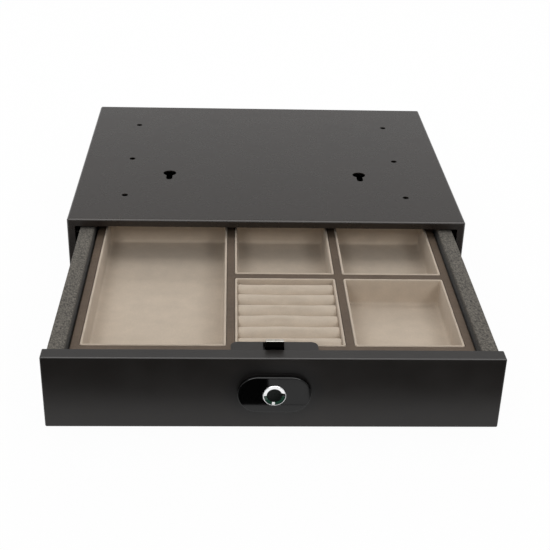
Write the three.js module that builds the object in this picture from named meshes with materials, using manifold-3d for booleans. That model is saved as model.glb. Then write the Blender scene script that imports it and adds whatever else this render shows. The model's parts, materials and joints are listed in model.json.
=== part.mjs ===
// Under desk drawer safe, with its drawer drawn out to show the lined tray.
// Millimetres, +Z up, the drawer opens towards -Y, and the origin is the centre of the case's
// underside. Every drawer piece is laid out as it stands when the drawer is closed, and the
// drawer's group then carries it out.
import * as THREE from "three";
import { mergeVertices } from "three/addons/utils/BufferGeometryUtils.js";
import { RoundedBoxGeometry } from "three/addons/geometries/RoundedBoxGeometry.js";
import Module from "manifold-3d";

const wasm = await Module();
wasm.setup();

// Values that every piece shares
const seat = 0.3; // gap left between two pieces that rest on each other
const overrun = 5; // how far a cutting solid runs past the piece that it cuts
const weld = 0.0001; // vertices closer than this are one
const roundSteps = 24; // sides of a round
const screwSteps = 12; // sides of a screw and of its hole
const fineRadius = 4; // rounds no larger than this have a screw's sides
const arcSteps = 4; // facets of a rounded corner
const bendSteps = 2; // facets of half a folded edge

// Case
const caseWidth = 406;
const caseDepth = 330;
const caseHeight = 88;
const caseSheet = 1.2;
const caseBend = 2.5; // outer radius of the folded edges
const lipWidth = 8; // return lip round the case's mouth
const floorFlange = 12; // upturned edges of the floor plate
const backFlange = 10; // forward edges of the back plate

// Holes in the case top: through holes for screws, and keyholes that hang it for fitting
const screwHoleRadius = 3.2;
const screwHoleInset = 53.6; // hole centre from the case's side
const screwHoleDepthShares = [0.182, 0.485, 0.809]; // of the case's depth, from the front
const keyholeInset = 98; // keyhole centre from the case's side
const keyholeHeadRadius = 7;
const keyholeSlotRadius = 3.3; // half the slot's width
const keyholeRun = 14.2; // head centre to the slot's end centre
const keyholeDepthShare = 0.3636; // of the case's depth, from the front

// Drawer front
const panelSheet = 1.5;
const panelDepth = 13.2; // the folded pan, front to back
const panelBend = 2; // outer radius of the folded edges
const panelSideGap = 1.5; // between the panel and the lip
const panelBottomGap = 1.5;
const panelTopGap = 0.8;
const railBelowPanel = 0.7; // felt below the panel's rearward fold
const drawnOut = 243.5; // how far the drawer stands open at rest

// Slides
const slideWidth = 12.7;
const slideHeight = 35;
const slideLength = 280;
const slideGapToPanel = 0.75; // between the panel's folded edge and the slides' front ends
const outerSheet = 1.2; // outer member
const middleSheet = 1;
const innerSheet = 1;
const outerLip = 1.4; // turned-in edge of the outer member's flanges
const middleLip = 1;
const memberSideGap = 1.3; // between the webs of two nested members
const outerBall = 3; // ball diameter in the outer race
const innerBall = 2.4; // ball diameter in the inner race
const ballPlay = 0.15; // between a ball and each race
const outerFlangeShortfall = 1.9; // free edge of the outer member from the drawer's side
const middleFlangeShortfall = 3.6;
const innerFlangeShortfall = 4.7; // free edge of the inner member from the outer web's back
const cageSheet = 0.5;
const cageWeb = 0.6;
const cageLength = 100;
const cageEdge = 1; // strip's free edge beyond the middle member's
const ballsInStrip = 5;
const ballSteps = 6;
const ballBands = 4;
const middleFollowShare = 0.5; // of the drawer's travel
const outerCageFollowShare = 0.25;
const innerCageFollowShare = 0.75;

// Brackets that stand the slides off the case walls
const bracketReach = 3.5; // bracket face inside the case's mouth
const bracketSheet = 1.5;
const bracketPastSlide = 2.5; // bracket face above and below the slide
const bracketAboveFlange = 6; // lower foot above the floor plate's edge
const bracketBelowTop = 10; // upper foot below the case top

// Screws of the slides
const slideScrewRadius = 2;
const slideScrewHeadRadius = 3.6;
const slideScrewHeadDepth = 1;
const slideScrewShares = [0.12, 0.86]; // of the slide's length, from its front end

// Drawer tub and its felt
const tubSheet = 1.2;
const tubPastSlides = 2.5; // back wall beyond the slides' rear ends
const felt = 0.9;
const railEdgeInset = 1.2; // felt's outer edge inside the slide's back
const railBend = 1.2; // rounding of the felt over the rail's inner edge
const railSkirtShare = 0.4; // felt folded down the flange's edge, of the height above the slides
const linerSheet = 1; // floor felt
const ledgeSheet = 1.2;
const ledgeReach = 11;
const ledgeHeightShare = 0.45; // of the height under the tray

// Tray
const traySideGap = 2; // between the tray and the felt
const trayFromLock = 1; // between the tray and the lock housing
const trayLength = 264;
const trayBelowRail = 7.7;
const trayBorder = 7.8; // beside the outer cells
const trayEndBorder = 7; // ahead of the near cells and behind the far ones
const trayStrip = 7.1; // between two columns of cells
const trayCrossStrip = 8.4; // between a front and a rear cell
const trayBoard = 2.5; // bottom board
const trayRound = 1.5; // leather cloth rounded over the tray's edges
const cellDepth = 26;
const largeCellWidth = 125.5;
const rearCellLength = 120.4;
const cellCorner = 2.5;
const linerCorner = 1; // inside a liner
const cellWall = 2.3; // padded liner wall
const cellFloor = 1.2;
const rimProud = 0.5; // liner rim above the tray's face

// Ring rolls
const rollCount = 6;
const rollBelowRim = 1;
const rollGap = 0.3; // between neighbours
const rollStraightShare = 0.62; // of the roll's height, below its round top
const rollFootShare = 0.9; // width at the foot, of the full width
const rollArcSteps = 10;
const rollEndShares = [0, 0.012, 0.035]; // of the roll's length, stations of its drawn-in ends
const rollEndScaleShares = [0.93, 0.98, 1]; // of the section there

// Lock housing, behind the drawer front
const lockWidth = 74;
const lockThickness = 23.7;
const lockWall = 1.5;
const lockCorner = 6;
const raisedBelowPanel = 0.1; // the housing's raised rear below the panel's top
const raisedBehindPanel = 0.3; // and behind the panel's fold
const guideWall = 2;
const shelfThickness = 1.5;
const lockScrewInset = 6;
const lockScrewRadius = 1.5;
const lockScrewHeadRadius = 3;
const lockScrewHeadDepth = 1.2;
const lockScrewLength = 22;

// Latch bolt and its rack
const boltWidth = 15.5;
const boltFaceFromStrike = 0.7; // play between the bolt and the strike when shut
const boltTopGap = 0.6; // bolt top below the case top's underside
const boltFlat = 3.4; // level strip on top, ahead of the bevel
const boltBevelDrop = 6.6; // height of the bevel at the rear
const boltThrow = 8;
const boltStem = 5; // stem thickness
const boltPlay = 0.35; // round the bolt in its guides
const boltHeadShare = 0.25; // head's height, of the height from the cells to the bolt's top
const rackClearShare = 0.04; // between the rack and the head, of the same height
const shelfClearShare = 0.05; // between the cells and the spring's shelf, of the same height
const stemBelowPinion = 5; // stem's foot below the pinion's axis
const slotSlack = 1.6; // extra width of the housing's slot on the bolt's left

// Strike plate
const strikeWidth = 36;
const strikeSheet = 1.5;
const strikeFromFront = 14.6; // rear face of the strike, from the case's front

// Rack and pinion
const gearModule = 0.9;
const pinionTeeth = 12;
const pressureAngle = THREE.MathUtils.degToRad(20);
const addendumShare = 0.8; // of the module
const dedendumShare = 1.08; // of the module
const toothPlay = 0.3; // between a tooth's flank and its space
const pinionWidth = 6;
const shaftRadius = 1.4;
const flankSteps = 3;

// Bolt spring
const springWire = 0.8;
const springMeanRadius = 2;
const springPitch = 1.84; // rise of a turn
const springTurnSteps = 8;
const springWireSteps = 5;
const pegRadius = 1.1;
const pegHeight = 5;

// Gear motor
const motorHeight = 12;
const motorDepth = 10;
const gearboxLength = 9;
const motorCanLength = 15;
const motorRound = 3;
const motorGap = 6.5; // gearbox face from the pinion's side
const cradleInset = 2.5;

// Circuit board
const boardWidth = 58;
const boardAboveFloor = 7.3; // board's foot above the housing's floor
const boardSheet = 1.2;
const boardFromWall = 1.1;
const chipSize = 9;
const chipHeight = 0.8;

// Lithium cells
const batteryRadius = 8.3;
const batteryLength = 33.8;
const batteryNubRadius = 3;
const batteryNub = 0.6;
const batteryShoulder = 1;
const batteryFromBack = 1.5; // clear of the housing's rounded rear corners

// Fascia, ring and sensor on the drawer front
const fasciaWidth = 62;
const fasciaHeight = 34.9;
const fasciaProud = 3.5;
const fasciaEdge = 0.8; // rounding of its front edge
const fasciaRise = 0.75; // centre above the panel's centre
const ringRadius = 9.8;
const ringHoleRadius = 6.5;
const ringProud = 1;
const ringCrest = 0.4; // width of the ring's level crest
const ringEase = 0.4; // chamfer outside the crest
const ringEdge = 0.45; // height of the ring's edge round the sensor
const sensorRadius = 6.2;
const sensorDish = 0.5; // hollow of the sensor's face
const sensorRecess = 0.65; // sensor rim behind the ring's crest
const sensorHoleGap = 0.4;

// Places worked out from the sizes above, for the closed drawer
const front = -caseDepth / 2;
const back = caseDepth / 2;
const side = caseWidth / 2;
const mouthSide = side - lipWidth;
const caseInside = side - caseSheet;
const panelSide = mouthSide - panelSideGap;
const panelBottom = lipWidth + panelBottomGap;
const panelTop = caseHeight - lipWidth - panelTopGap;
const slideFront = front + panelDepth + slideGapToPanel;
const slideBack = slideFront + slideLength;
const bracketBottom = floorFlange + bracketAboveFlange;
const bracketTop = caseHeight - bracketBelowTop;
const slideLevel = (bracketBottom + bracketTop) / 2;
const bracketFace = mouthSide - bracketReach;
const slideOuterFace = bracketFace - seat;
const slideInnerFace = slideOuterFace - slideWidth;
const tubSide = slideInnerFace - seat;
const tubInside = tubSide - tubSheet;
const feltFace = tubInside - seat - felt;
const railEdge = slideOuterFace - railEdgeInset;
const tubFront = front + panelSheet + seat;
const tubBack = slideBack + tubPastSlides;
const tubBottom = panelBottom + panelSheet + seat;
const tubFloorTop = tubBottom + tubSheet;
const railTop = panelTop - panelSheet - railBelowPanel;
const flangeTop = railTop - felt - seat;
const linerTop = tubFloorTop + seat + linerSheet;
const liningFront = tubFront + tubSheet + seat;
const liningBack = tubBack - tubSheet - seat;
const lockBack = liningFront + lockThickness;
const lockBottom = linerTop + seat;
const lockInsideBack = lockBack - lockWall;
const raisedFront = front + panelDepth + raisedBehindPanel;
const raisedTop = panelTop - raisedBelowPanel;
const trayFront = lockBack + trayFromLock;
const trayBack = trayFront + trayLength;
const traySide = feltFace - traySideGap;
const trayTop = railTop - trayBelowRail;
const cellFloorLevel = trayTop - cellDepth;
const pocketFloor = cellFloorLevel - cellFloor - seat;
const trayBottom = pocketFloor - trayBoard;
const boltBack = lockInsideBack - seat;
const boltFront = front + strikeFromFront + boltFaceFromStrike;
const boltTop = caseHeight - caseSheet - boltTopGap;
const lockFloor = lockBottom + lockWall;
const batteryTop = lockFloor + seat + 2 * batteryRadius;
const lockStack = boltTop - batteryTop;
const headBottom = boltTop - lockStack * boltHeadShare;
const toothPitch = Math.PI * gearModule;
const topTooth = Math.ceil(boltThrow / toothPitch) + 1; // of the rack, counted from the axis
const rackRun = (topTooth + 1 / 2) * toothPitch; // pinion's axis to the end of the rack
const pinionLevel = headBottom - lockStack * rackClearShare - rackRun;
const stemBottom = pinionLevel - stemBelowPinion;
const stemFront = boltBack - boltStem;
const pitchRadius = (gearModule * pinionTeeth) / 2;
const addendum = gearModule * addendumShare;
const dedendum = gearModule * dedendumShare;
const pinionAxis = stemFront - dedendum - pitchRadius;
const shelfTop = batteryTop + lockStack * shelfClearShare + shelfThickness;
const springLength = stemBottom - seat - (shelfTop + seat);
const springTurns = Math.round((springLength - springWire) / springPitch);
const fasciaLevel = (panelBottom + panelTop) / 2 + fasciaRise;
const fasciaBack = front - seat;
const fasciaFace = fasciaBack - fasciaProud;
const ringFace = fasciaFace - ringProud;

// Solids: closed meshes that can be cut and joined

function solid(geometry) {
  const bare = new THREE.BufferGeometry();
  bare.setAttribute("position", geometry.getAttribute("position"));
  if (geometry.index) bare.setIndex(geometry.index);
  const merged = mergeVertices(bare, weld);
  return new wasm.Manifold(
    new wasm.Mesh({
      numProp: 3,
      vertProperties: merged.getAttribute("position").array,
      triVerts: Uint32Array.from(merged.index.array),
    }),
  );
}

function geometryOf(made) {
  const mesh = made.getMesh();
  const geometry = new THREE.BufferGeometry();
  const positions = new Float32Array(mesh.vertProperties);
  geometry.setAttribute("position", new THREE.BufferAttribute(positions, 3));
  geometry.setIndex(new THREE.BufferAttribute(new Uint32Array(mesh.triVerts), 1));
  geometry.computeVertexNormals();
  return geometry;
}

function joined(pieces) {
  return pieces.reduce((whole, piece) => whole.add(piece));
}

function cutBy(whole, cutters) {
  return cutters.reduce((left, cutter) => left.subtract(cutter), whole);
}

function box(x0, x1, y0, y1, z0, z1) {
  const geometry = new THREE.BoxGeometry(x1 - x0, y1 - y0, z1 - z0);
  geometry.translate((x0 + x1) / 2, (y0 + y1) / 2, (z0 + z1) / 2);
  return solid(geometry);
}

function roundedBox(x0, x1, y0, y1, z0, z1, radius) {
  const size = [x1 - x0, y1 - y0, z1 - z0];
  const geometry = new RoundedBoxGeometry(...size, bendSteps, radius);
  geometry.translate((x0 + x1) / 2, (y0 + y1) / 2, (z0 + z1) / 2);
  return solid(geometry);
}

// A flat outline run along one axis. Outlines are drawn in (x, y) for Z, in (x, z) for Y and
// in (y, z) for X.
const outlineAxes = {
  X: [new THREE.Vector3(0, 1, 0), new THREE.Vector3(0, 0, 1), new THREE.Vector3(1, 0, 0)],
  Y: [new THREE.Vector3(1, 0, 0), new THREE.Vector3(0, 0, 1), new THREE.Vector3(0, -1, 0)],
  Z: [new THREE.Vector3(1, 0, 0), new THREE.Vector3(0, 1, 0), new THREE.Vector3(0, 0, 1)],
};

function prism(outline, axis, from, to) {
  const geometry = new THREE.ExtrudeGeometry(outline, {
    depth: to - from,
    bevelEnabled: false,
    curveSegments: arcSteps,
  });
  const turned = new THREE.Matrix4().makeBasis(...outlineAxes[axis]);
  geometry.applyMatrix4(turned);
  const start = axis === "Y" ? to : from;
  const shift = { X: [start, 0, 0], Y: [0, start, 0], Z: [0, 0, start] }[axis];
  geometry.translate(...shift);
  return solid(geometry);
}

function outlineOf(points) {
  return new THREE.Shape(points.map(([u, v]) => new THREE.Vector2(u, v)));
}

function roundedOutline(u0, u1, v0, v1, radius) {
  const outline = new THREE.Shape();
  const turn = Math.PI / 2;
  outline.absarc(u1 - radius, v0 + radius, radius, -turn, 0);
  outline.absarc(u1 - radius, v1 - radius, radius, 0, turn);
  outline.absarc(u0 + radius, v1 - radius, radius, turn, 2 * turn);
  outline.absarc(u0 + radius, v0 + radius, radius, 2 * turn, 3 * turn);
  return outline;
}

// A cylinder or cone along one axis, with a radius at each end
function rod(axis, from, to, centre, fromRadius, toRadius = fromRadius) {
  const steps = Math.max(fromRadius, toRadius) > fineRadius ? roundSteps : screwSteps;
  const geometry = new THREE.CylinderGeometry(toRadius, fromRadius, to - from, steps);
  const middle = (from + to) / 2;
  if (axis === "X") {
    geometry.rotateZ(-Math.PI / 2);
    geometry.translate(middle, ...centre);
  } else if (axis === "Y") {
    geometry.translate(centre[0], middle, centre[1]);
  } else {
    geometry.rotateX(Math.PI / 2);
    geometry.translate(...centre, middle);
  }
  return solid(geometry);
}

// A profile of (radius, place) points turned round an axis along Y
function turned(profile, centreX, centreZ) {
  const points = profile.map(([radius, place]) => new THREE.Vector2(radius, place));
  const geometry = new THREE.LatheGeometry(points, roundSteps);
  geometry.translate(centreX, 0, centreZ);
  return solid(geometry);
}

// Sections with equal counts of points, skinned in order and closed at both ends
function lofted(sections) {
  const count = sections[0].length;
  const positions = sections.flat().flatMap((point) => point.toArray());
  const index = [];
  const last = (sections.length - 1) * count;
  for (let s = 0; s < last; s += count) {
    for (let i = 0; i < count; i += 1) {
      const next = (i + 1) % count;
      index.push(s + i, s + next, s + count + next);
      index.push(s + i, s + count + next, s + count + i);
    }
  }
  for (let i = 1; i < count - 1; i += 1) {
    index.push(0, i + 1, i);
    index.push(last, last + i, last + i + 1);
  }
  const geometry = new THREE.BufferGeometry();
  geometry.setAttribute("position", new THREE.Float32BufferAttribute(positions, 3));
  geometry.setIndex(index);
  return solid(geometry);
}

// Finishes
const finishes = {
  paintedSteel: { color: 0x3b3937, roughness: 0.45, metalness: 0.35 },
  zincSteel: { color: 0xa9abad, roughness: 0.35, metalness: 0.9 },
  polishedSteel: { color: 0xc9cacc, roughness: 0.12, metalness: 1 },
  chrome: { color: 0xdedfe1, roughness: 0.06, metalness: 1 },
  glossBlack: { color: 0x050505, roughness: 0.08, metalness: 0 },
  sensorGlass: { color: 0x1b211f, roughness: 0.2, metalness: 0.1 },
  blackPlastic: { color: 0x302e2c, roughness: 0.55, metalness: 0 },
  greyFelt: { color: 0x716d65, roughness: 0.95, metalness: 0 },
  leatherCloth: { color: 0x63584c, roughness: 0.7, metalness: 0 },
  velour: { color: 0xbbae9e, roughness: 0.95, metalness: 0 },
  boardGreen: { color: 0x1f4a30, roughness: 0.5, metalness: 0 },
  batteryWrap: { color: 0x2b5c8a, roughness: 0.4, metalness: 0 },
};

function place(parent, name, made, finish) {
  const material = new THREE.MeshStandardMaterial(finishes[finish]);
  const mesh = new THREE.Mesh(geometryOf(made), material);
  mesh.name = name;
  parent.add(mesh);
  return mesh;
}

// A piece on the right and its mirror image on the left
function placePair(parent, name, made, finish, suffix = "") {
  place(parent, name + "_right" + suffix, made, finish);
  const left = place(parent, name + "_left" + suffix, made, finish);
  left.scale.x = -1;
}

// Case

function keyhole(x) {
  const headY = front + caseDepth * keyholeDepthShare;
  const endY = headY - keyholeRun;
  const low = caseHeight - overrun;
  const high = caseHeight + overrun;
  return joined([
    rod("Z", low, high, [x, headY], keyholeHeadRadius),
    rod("Z", low, high, [x, endY], keyholeSlotRadius),
    box(x - keyholeSlotRadius, x + keyholeSlotRadius, endY, headY, low, high),
  ]);
}

function topHoles() {
  const low = caseHeight - overrun;
  const high = caseHeight + overrun;
  const cutters = [];
  for (const hand of [-1, 1]) {
    for (const share of screwHoleDepthShares) {
      const centre = [hand * (side - screwHoleInset), front + caseDepth * share];
      cutters.push(rod("Z", low, high, centre, screwHoleRadius));
    }
    cutters.push(keyhole(hand * (side - keyholeInset)));
  }
  return cutters;
}

function caseShell() {
  const innerBend = caseBend - caseSheet;
  const inFront = front + caseSheet;
  const inTop = caseHeight - caseSheet;
  const past = back + caseBend + overrun;
  const under = -caseBend - overrun;
  const outer = roundedBox(-side, side, front, past, under, caseHeight, caseBend);
  const inner = roundedBox(
    -caseInside, caseInside, inFront, past + overrun, under - overrun, inTop, innerBend,
  );
  const mouthTop = caseHeight - lipWidth;
  const mouth = box(
    -mouthSide, mouthSide, front - overrun, front + overrun, under - overrun, mouthTop,
  );
  const rear = box(
    -side - overrun, side + overrun, back, past + overrun, under - overrun, caseHeight + overrun,
  );
  const below = box(
    -side - overrun, side + overrun, front - overrun, past + overrun, under - overrun, 0,
  );
  return cutBy(outer, [inner, mouth, rear, below, ...topHoles()]);
}

function caseFloor() {
  const half = caseInside - seat;
  const inHalf = half - caseSheet;
  const lipHalf = mouthSide - seat;
  const plateFront = front + caseBend + seat;
  const flangeBack = back - seat - caseSheet - backFlange - seat;
  const trough = outlineOf([
    [-half, 0],
    [half, 0],
    [half, floorFlange],
    [inHalf, floorFlange],
    [inHalf, caseSheet],
    [-inHalf, caseSheet],
    [-inHalf, floorFlange],
    [-half, floorFlange],
  ]);
  const lip = outlineOf([
    [front, 0],
    [plateFront, 0],
    [plateFront, caseSheet],
    [front + caseSheet, caseSheet],
    [front + caseSheet, lipWidth],
    [front, lipWidth],
  ]);
  return joined([
    prism(trough, "Y", plateFront, flangeBack),
    prism(lip, "X", -lipHalf, lipHalf),
    box(-half, half, flangeBack, back, 0, caseSheet),
  ]);
}

function caseBack() {
  const half = caseInside - seat;
  const rear = back - seat;
  const bottom = caseSheet + seat;
  const top = caseHeight - caseSheet - seat;
  const flangeFront = rear - caseSheet - backFlange;
  const bend = caseBend - caseSheet;
  const plate = prism(roundedOutline(-half, half, bottom, top, bend), "Y", flangeFront, rear);
  const hollow = box(
    caseSheet - half, half - caseSheet, flangeFront - overrun, rear - caseSheet,
    bottom - overrun, top - caseSheet,
  );
  return plate.subtract(hollow);
}

// An angle under the case top: its standing leg stops the bolt
function strikePlate() {
  const legBack = front + strikeFromFront;
  const legFront = legBack - strikeSheet;
  const plateFront = front + caseBend + seat;
  const top = caseHeight - caseSheet - seat;
  const bottom = caseHeight - lipWidth;
  const outline = outlineOf([
    [plateFront, top],
    [plateFront, top - strikeSheet],
    [legFront, top - strikeSheet],
    [legFront, bottom],
    [legBack, bottom],
    [legBack, top],
  ]);
  return prism(outline, "X", -strikeWidth / 2, strikeWidth / 2);
}

// A hat section: its face carries the slide, and its feet lie on the case wall
function slideBracket() {
  const wall = caseInside - seat;
  const face = bracketFace;
  const foot = wall - bracketSheet;
  const half = slideHeight / 2 + bracketPastSlide;
  const inHalf = half - bracketSheet;
  const outline = outlineOf([
    [face, slideLevel - half],
    [foot, slideLevel - half],
    [foot, bracketBottom],
    [wall, bracketBottom],
    [wall, slideLevel - inHalf],
    [face + bracketSheet, slideLevel - inHalf],
    [face + bracketSheet, slideLevel + inHalf],
    [wall, slideLevel + inHalf],
    [wall, bracketTop],
    [foot, bracketTop],
    [foot, slideLevel + half],
    [face, slideLevel + half],
  ]);
  const bracket = prism(outline, "Y", slideFront, slideBack);
  return cutBy(bracket, slideScrewHoles(bracketFace - overrun, bracketFace + overrun));
}

// Slides: three nested channels with balls between their flanges

const outerFlangeIn = slideHeight / 2 - outerSheet;
const middleTop = outerFlangeIn - outerBall - 2 * ballPlay;
const middleFlangeIn = middleTop - middleSheet;
const innerTop = middleFlangeIn - innerBall - 2 * ballPlay;
const outerWeb = slideOuterFace - outerSheet;
const middleWebOut = outerWeb - memberSideGap;
const middleWebIn = middleWebOut - middleSheet;
const outerFree = slideInnerFace + outerFlangeShortfall;
const middleFree = slideInnerFace + middleFlangeShortfall;
const innerFree = slideOuterFace - innerFlangeShortfall;

// A channel lying on its side. webOut is the back of its web, webIn the web's inner face and
// free the edge of its flanges, which may end in a lip turned in towards the middle.
function channelOutline(webOut, webIn, free, top, sheet, lip) {
  const inTop = top - sheet;
  const towards = Math.sign(webOut - free);
  const lipIn = free + towards * sheet;
  const upper = [
    [webOut, top],
    [free, top],
    [free, inTop - lip],
  ];
  if (lip > 0) upper.push([lipIn, inTop - lip], [lipIn, inTop]);
  upper.push([webIn, inTop]);
  const lower = upper.map(([u, v]) => [u, -v]).reverse();
  const points = [...upper, ...lower].map(([u, v]) => [u, v + slideLevel]);
  return outlineOf(points);
}

function slideScrewPlaces() {
  return slideScrewShares.map((share) => slideFront + slideLength * share);
}

function slideScrewHoles(from, to) {
  const radius = slideScrewRadius + seat;
  return slideScrewPlaces().map((y) => rod("X", from, to, [y, slideLevel], radius));
}

// The seats that the flat screw heads lie in, opening from the given face
function slideScrewSeats(face, towards) {
  const deep = face + towards * slideScrewHeadDepth;
  const wide = slideScrewHeadRadius + seat;
  const narrow = slideScrewRadius + seat;
  return slideScrewPlaces().map((y) => {
    const radii = towards > 0 ? [wide, narrow] : [narrow, wide];
    return rod("X", Math.min(face, deep), Math.max(face, deep), [y, slideLevel], ...radii);
  });
}

function slideOuter() {
  const outline = channelOutline(
    slideOuterFace, outerWeb, outerFree, slideHeight / 2, outerSheet, outerLip,
  );
  const member = prism(outline, "Y", slideFront, slideBack);
  const holes = slideScrewHoles(outerWeb - seat, slideOuterFace + seat);
  return cutBy(member, [...holes, ...slideScrewSeats(outerWeb, 1)]);
}

function slideMiddle() {
  const outline = channelOutline(
    middleWebOut, middleWebIn, middleFree, middleTop, middleSheet, middleLip,
  );
  return prism(outline, "Y", slideFront, slideBack);
}

function slideInner() {
  const outline = channelOutline(
    slideInnerFace, slideInnerFace + innerSheet, innerFree, innerTop, innerSheet, 0,
  );
  const member = prism(outline, "Y", slideFront, slideBack);
  const web = slideInnerFace + innerSheet;
  const holes = slideScrewHoles(slideInnerFace - seat, web + seat);
  return cutBy(member, [...holes, ...slideScrewSeats(web, -1)]);
}

// A bent strip with a row of balls in each flange
function ballCage(webOut, free, level, ball) {
  const top = level + cageSheet / 2;
  const outline = channelOutline(webOut, webOut - cageWeb, free, top, cageSheet, 0);
  const centreY = (slideFront + slideBack) / 2;
  const strip = prism(outline, "Y", centreY - cageLength / 2, centreY + cageLength / 2);
  const ballX = (free + webOut - cageWeb) / 2;
  const pitch = cageLength / ballsInStrip;
  const balls = [];
  for (const up of [-1, 1]) {
    for (let i = 0; i < ballsInStrip; i += 1) {
      const geometry = new THREE.SphereGeometry(ball / 2, ballSteps, ballBands);
      const y = centreY - cageLength / 2 + pitch * (i + 1 / 2);
      geometry.translate(ballX, y, slideLevel + up * level);
      balls.push(solid(geometry));
    }
  }
  return joined([strip, ...balls]);
}

function outerCage() {
  const level = (outerFlangeIn + middleTop) / 2;
  return ballCage(outerWeb - seat, middleFree + cageEdge, level, outerBall);
}

function innerCage() {
  const level = (middleFlangeIn + innerTop) / 2;
  const free = middleFree + middleSheet + seat;
  return ballCage(middleWebIn - seat, free, level, innerBall);
}

// A flat headed screw whose head faces the given way along X
function slideScrew(face, towards, length, y) {
  const low = towards > 0 ? face : face - length;
  const deep = face + towards * slideScrewHeadDepth;
  const radii = [slideScrewHeadRadius, slideScrewRadius];
  if (towards < 0) radii.reverse();
  const centre = [y, slideLevel];
  return joined([
    rod("X", low, low + length, centre, slideScrewRadius),
    rod("X", Math.min(face, deep), Math.max(face, deep), centre, ...radii),
  ]);
}

// Drawer

function fasciaHole(from, to) {
  return rod("Y", from, to, [0, fasciaLevel], sensorRadius + sensorHoleGap);
}

function frontPanel() {
  const innerBend = panelBend - panelSheet;
  const rear = front + panelDepth;
  const past = rear + overrun;
  const outer = roundedBox(
    -panelSide, panelSide, front, past, panelBottom, panelTop, panelBend,
  );
  const inner = roundedBox(
    panelSheet - panelSide, panelSide - panelSheet, front + panelSheet, past + overrun,
    panelBottom + panelSheet, panelTop - panelSheet, innerBend,
  );
  const behind = box(
    -panelSide - overrun, panelSide + overrun, rear, past + overrun,
    panelBottom - overrun, panelTop + overrun,
  );
  return cutBy(outer, [inner, behind, fasciaHole(front - overrun, front + overrun)]);
}

function drawerTub() {
  const flangeSide = railEdge - felt - seat;
  const flangeBottom = flangeTop - tubSheet;
  const parts = [
    box(-tubSide, tubSide, tubFront, tubBack, tubBottom, tubFloorTop),
    box(-tubSide, tubSide, tubFront, tubFront + tubSheet, tubBottom, flangeTop),
    box(-tubSide, tubSide, tubBack - tubSheet, tubBack, tubBottom, flangeTop),
    box(tubInside, tubSide, tubFront, tubBack, tubBottom, flangeTop),
    box(-tubSide, -tubInside, tubFront, tubBack, tubBottom, flangeTop),
    box(tubInside, flangeSide, tubFront, tubBack, flangeBottom, flangeTop),
    box(-flangeSide, -tubInside, tubFront, tubBack, flangeBottom, flangeTop),
  ];
  const holes = [
    fasciaHole(tubFront - seat, tubFront + tubSheet + seat),
    ...slideScrewHoles(tubInside - seat, tubSide + seat),
    ...slideScrewHoles(-tubSide - seat, seat - tubInside),
    ...lockScrewHoles(),
  ];
  return cutBy(joined(parts), holes);
}

// Felt over the rail: up the inside, over the top and down the flange's edge
function railCover() {
  const bottom = linerTop + seat;
  const inside = feltFace + felt;
  const under = railTop - felt;
  const skirtIn = railEdge - felt;
  const aboveSlides = railTop - slideLevel - slideHeight / 2;
  const skirtBottom = railTop - aboveSlides * railSkirtShare;
  const outerBend = railBend / 2;
  const outline = new THREE.Shape();
  const turn = Math.PI / 2;
  outline.moveTo(feltFace, bottom);
  outline.absarc(feltFace + railBend, railTop - railBend, railBend, 2 * turn, turn, true);
  outline.absarc(railEdge - outerBend, railTop - outerBend, outerBend, turn, 0, true);
  outline.lineTo(railEdge, skirtBottom);
  outline.lineTo(skirtIn, skirtBottom);
  outline.lineTo(skirtIn, under);
  outline.lineTo(inside, under);
  outline.lineTo(inside, bottom);
  return prism(outline, "Y", liningFront, liningBack);
}

function floorLiner() {
  const half = tubInside - seat;
  return box(-half, half, liningFront, liningBack, tubFloorTop + seat, linerTop);
}

function trayLedge() {
  const outside = feltFace - seat;
  const top = trayBottom - seat;
  const inside = outside - ledgeReach;
  const bottom = top - (top - linerTop) * ledgeHeightShare;
  const outline = outlineOf([
    [inside, top],
    [inside, top - ledgeSheet],
    [outside - ledgeSheet, top - ledgeSheet],
    [outside - ledgeSheet, bottom],
    [outside, bottom],
    [outside, top],
  ]);
  return prism(outline, "Y", trayFront, trayBack);
}

// Lock

function lockScrewPlaces() {
  const x = lockWidth / 2 - lockScrewInset;
  return [[x, fasciaLevel], [-x, fasciaLevel]];
}

function lockScrewHoles() {
  return lockScrewPlaces().map((centre) =>
    rod("Y", tubFront - seat, tubFront + tubSheet + seat, centre, lockScrewRadius + seat),
  );
}

function lockHousing() {
  const half = lockWidth / 2;
  const inHalf = half - lockWall;
  const open = liningFront - overrun;
  const outline = roundedOutline(-half, half, open, lockBack, lockCorner);
  const inOutline = roundedOutline(
    -inHalf, inHalf, open - overrun, lockInsideBack, lockCorner - lockWall,
  );
  const raised = behind(prism(outline, "Z", lockBottom, raisedTop), raisedFront);
  const raisedInner = prism(inOutline, "Z", lockFloor, raisedTop - lockWall);
  const shell = cutBy(prism(outline, "Z", lockBottom, railTop).add(raised), [
    prism(inOutline, "Z", lockFloor, railTop - lockWall),
    behind(raisedInner, raisedFront + lockWall),
  ]);
  const cuts = [boltSlot(), ...lockScrewSeats()];
  return cutBy(joined([behind(shell, liningFront), ...lockInsides()]), cuts);
}

// The part of a solid that lies behind a place along Y
function behind(whole, y) {
  return whole.trimByPlane([0, 1, 0], y);
}

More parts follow.
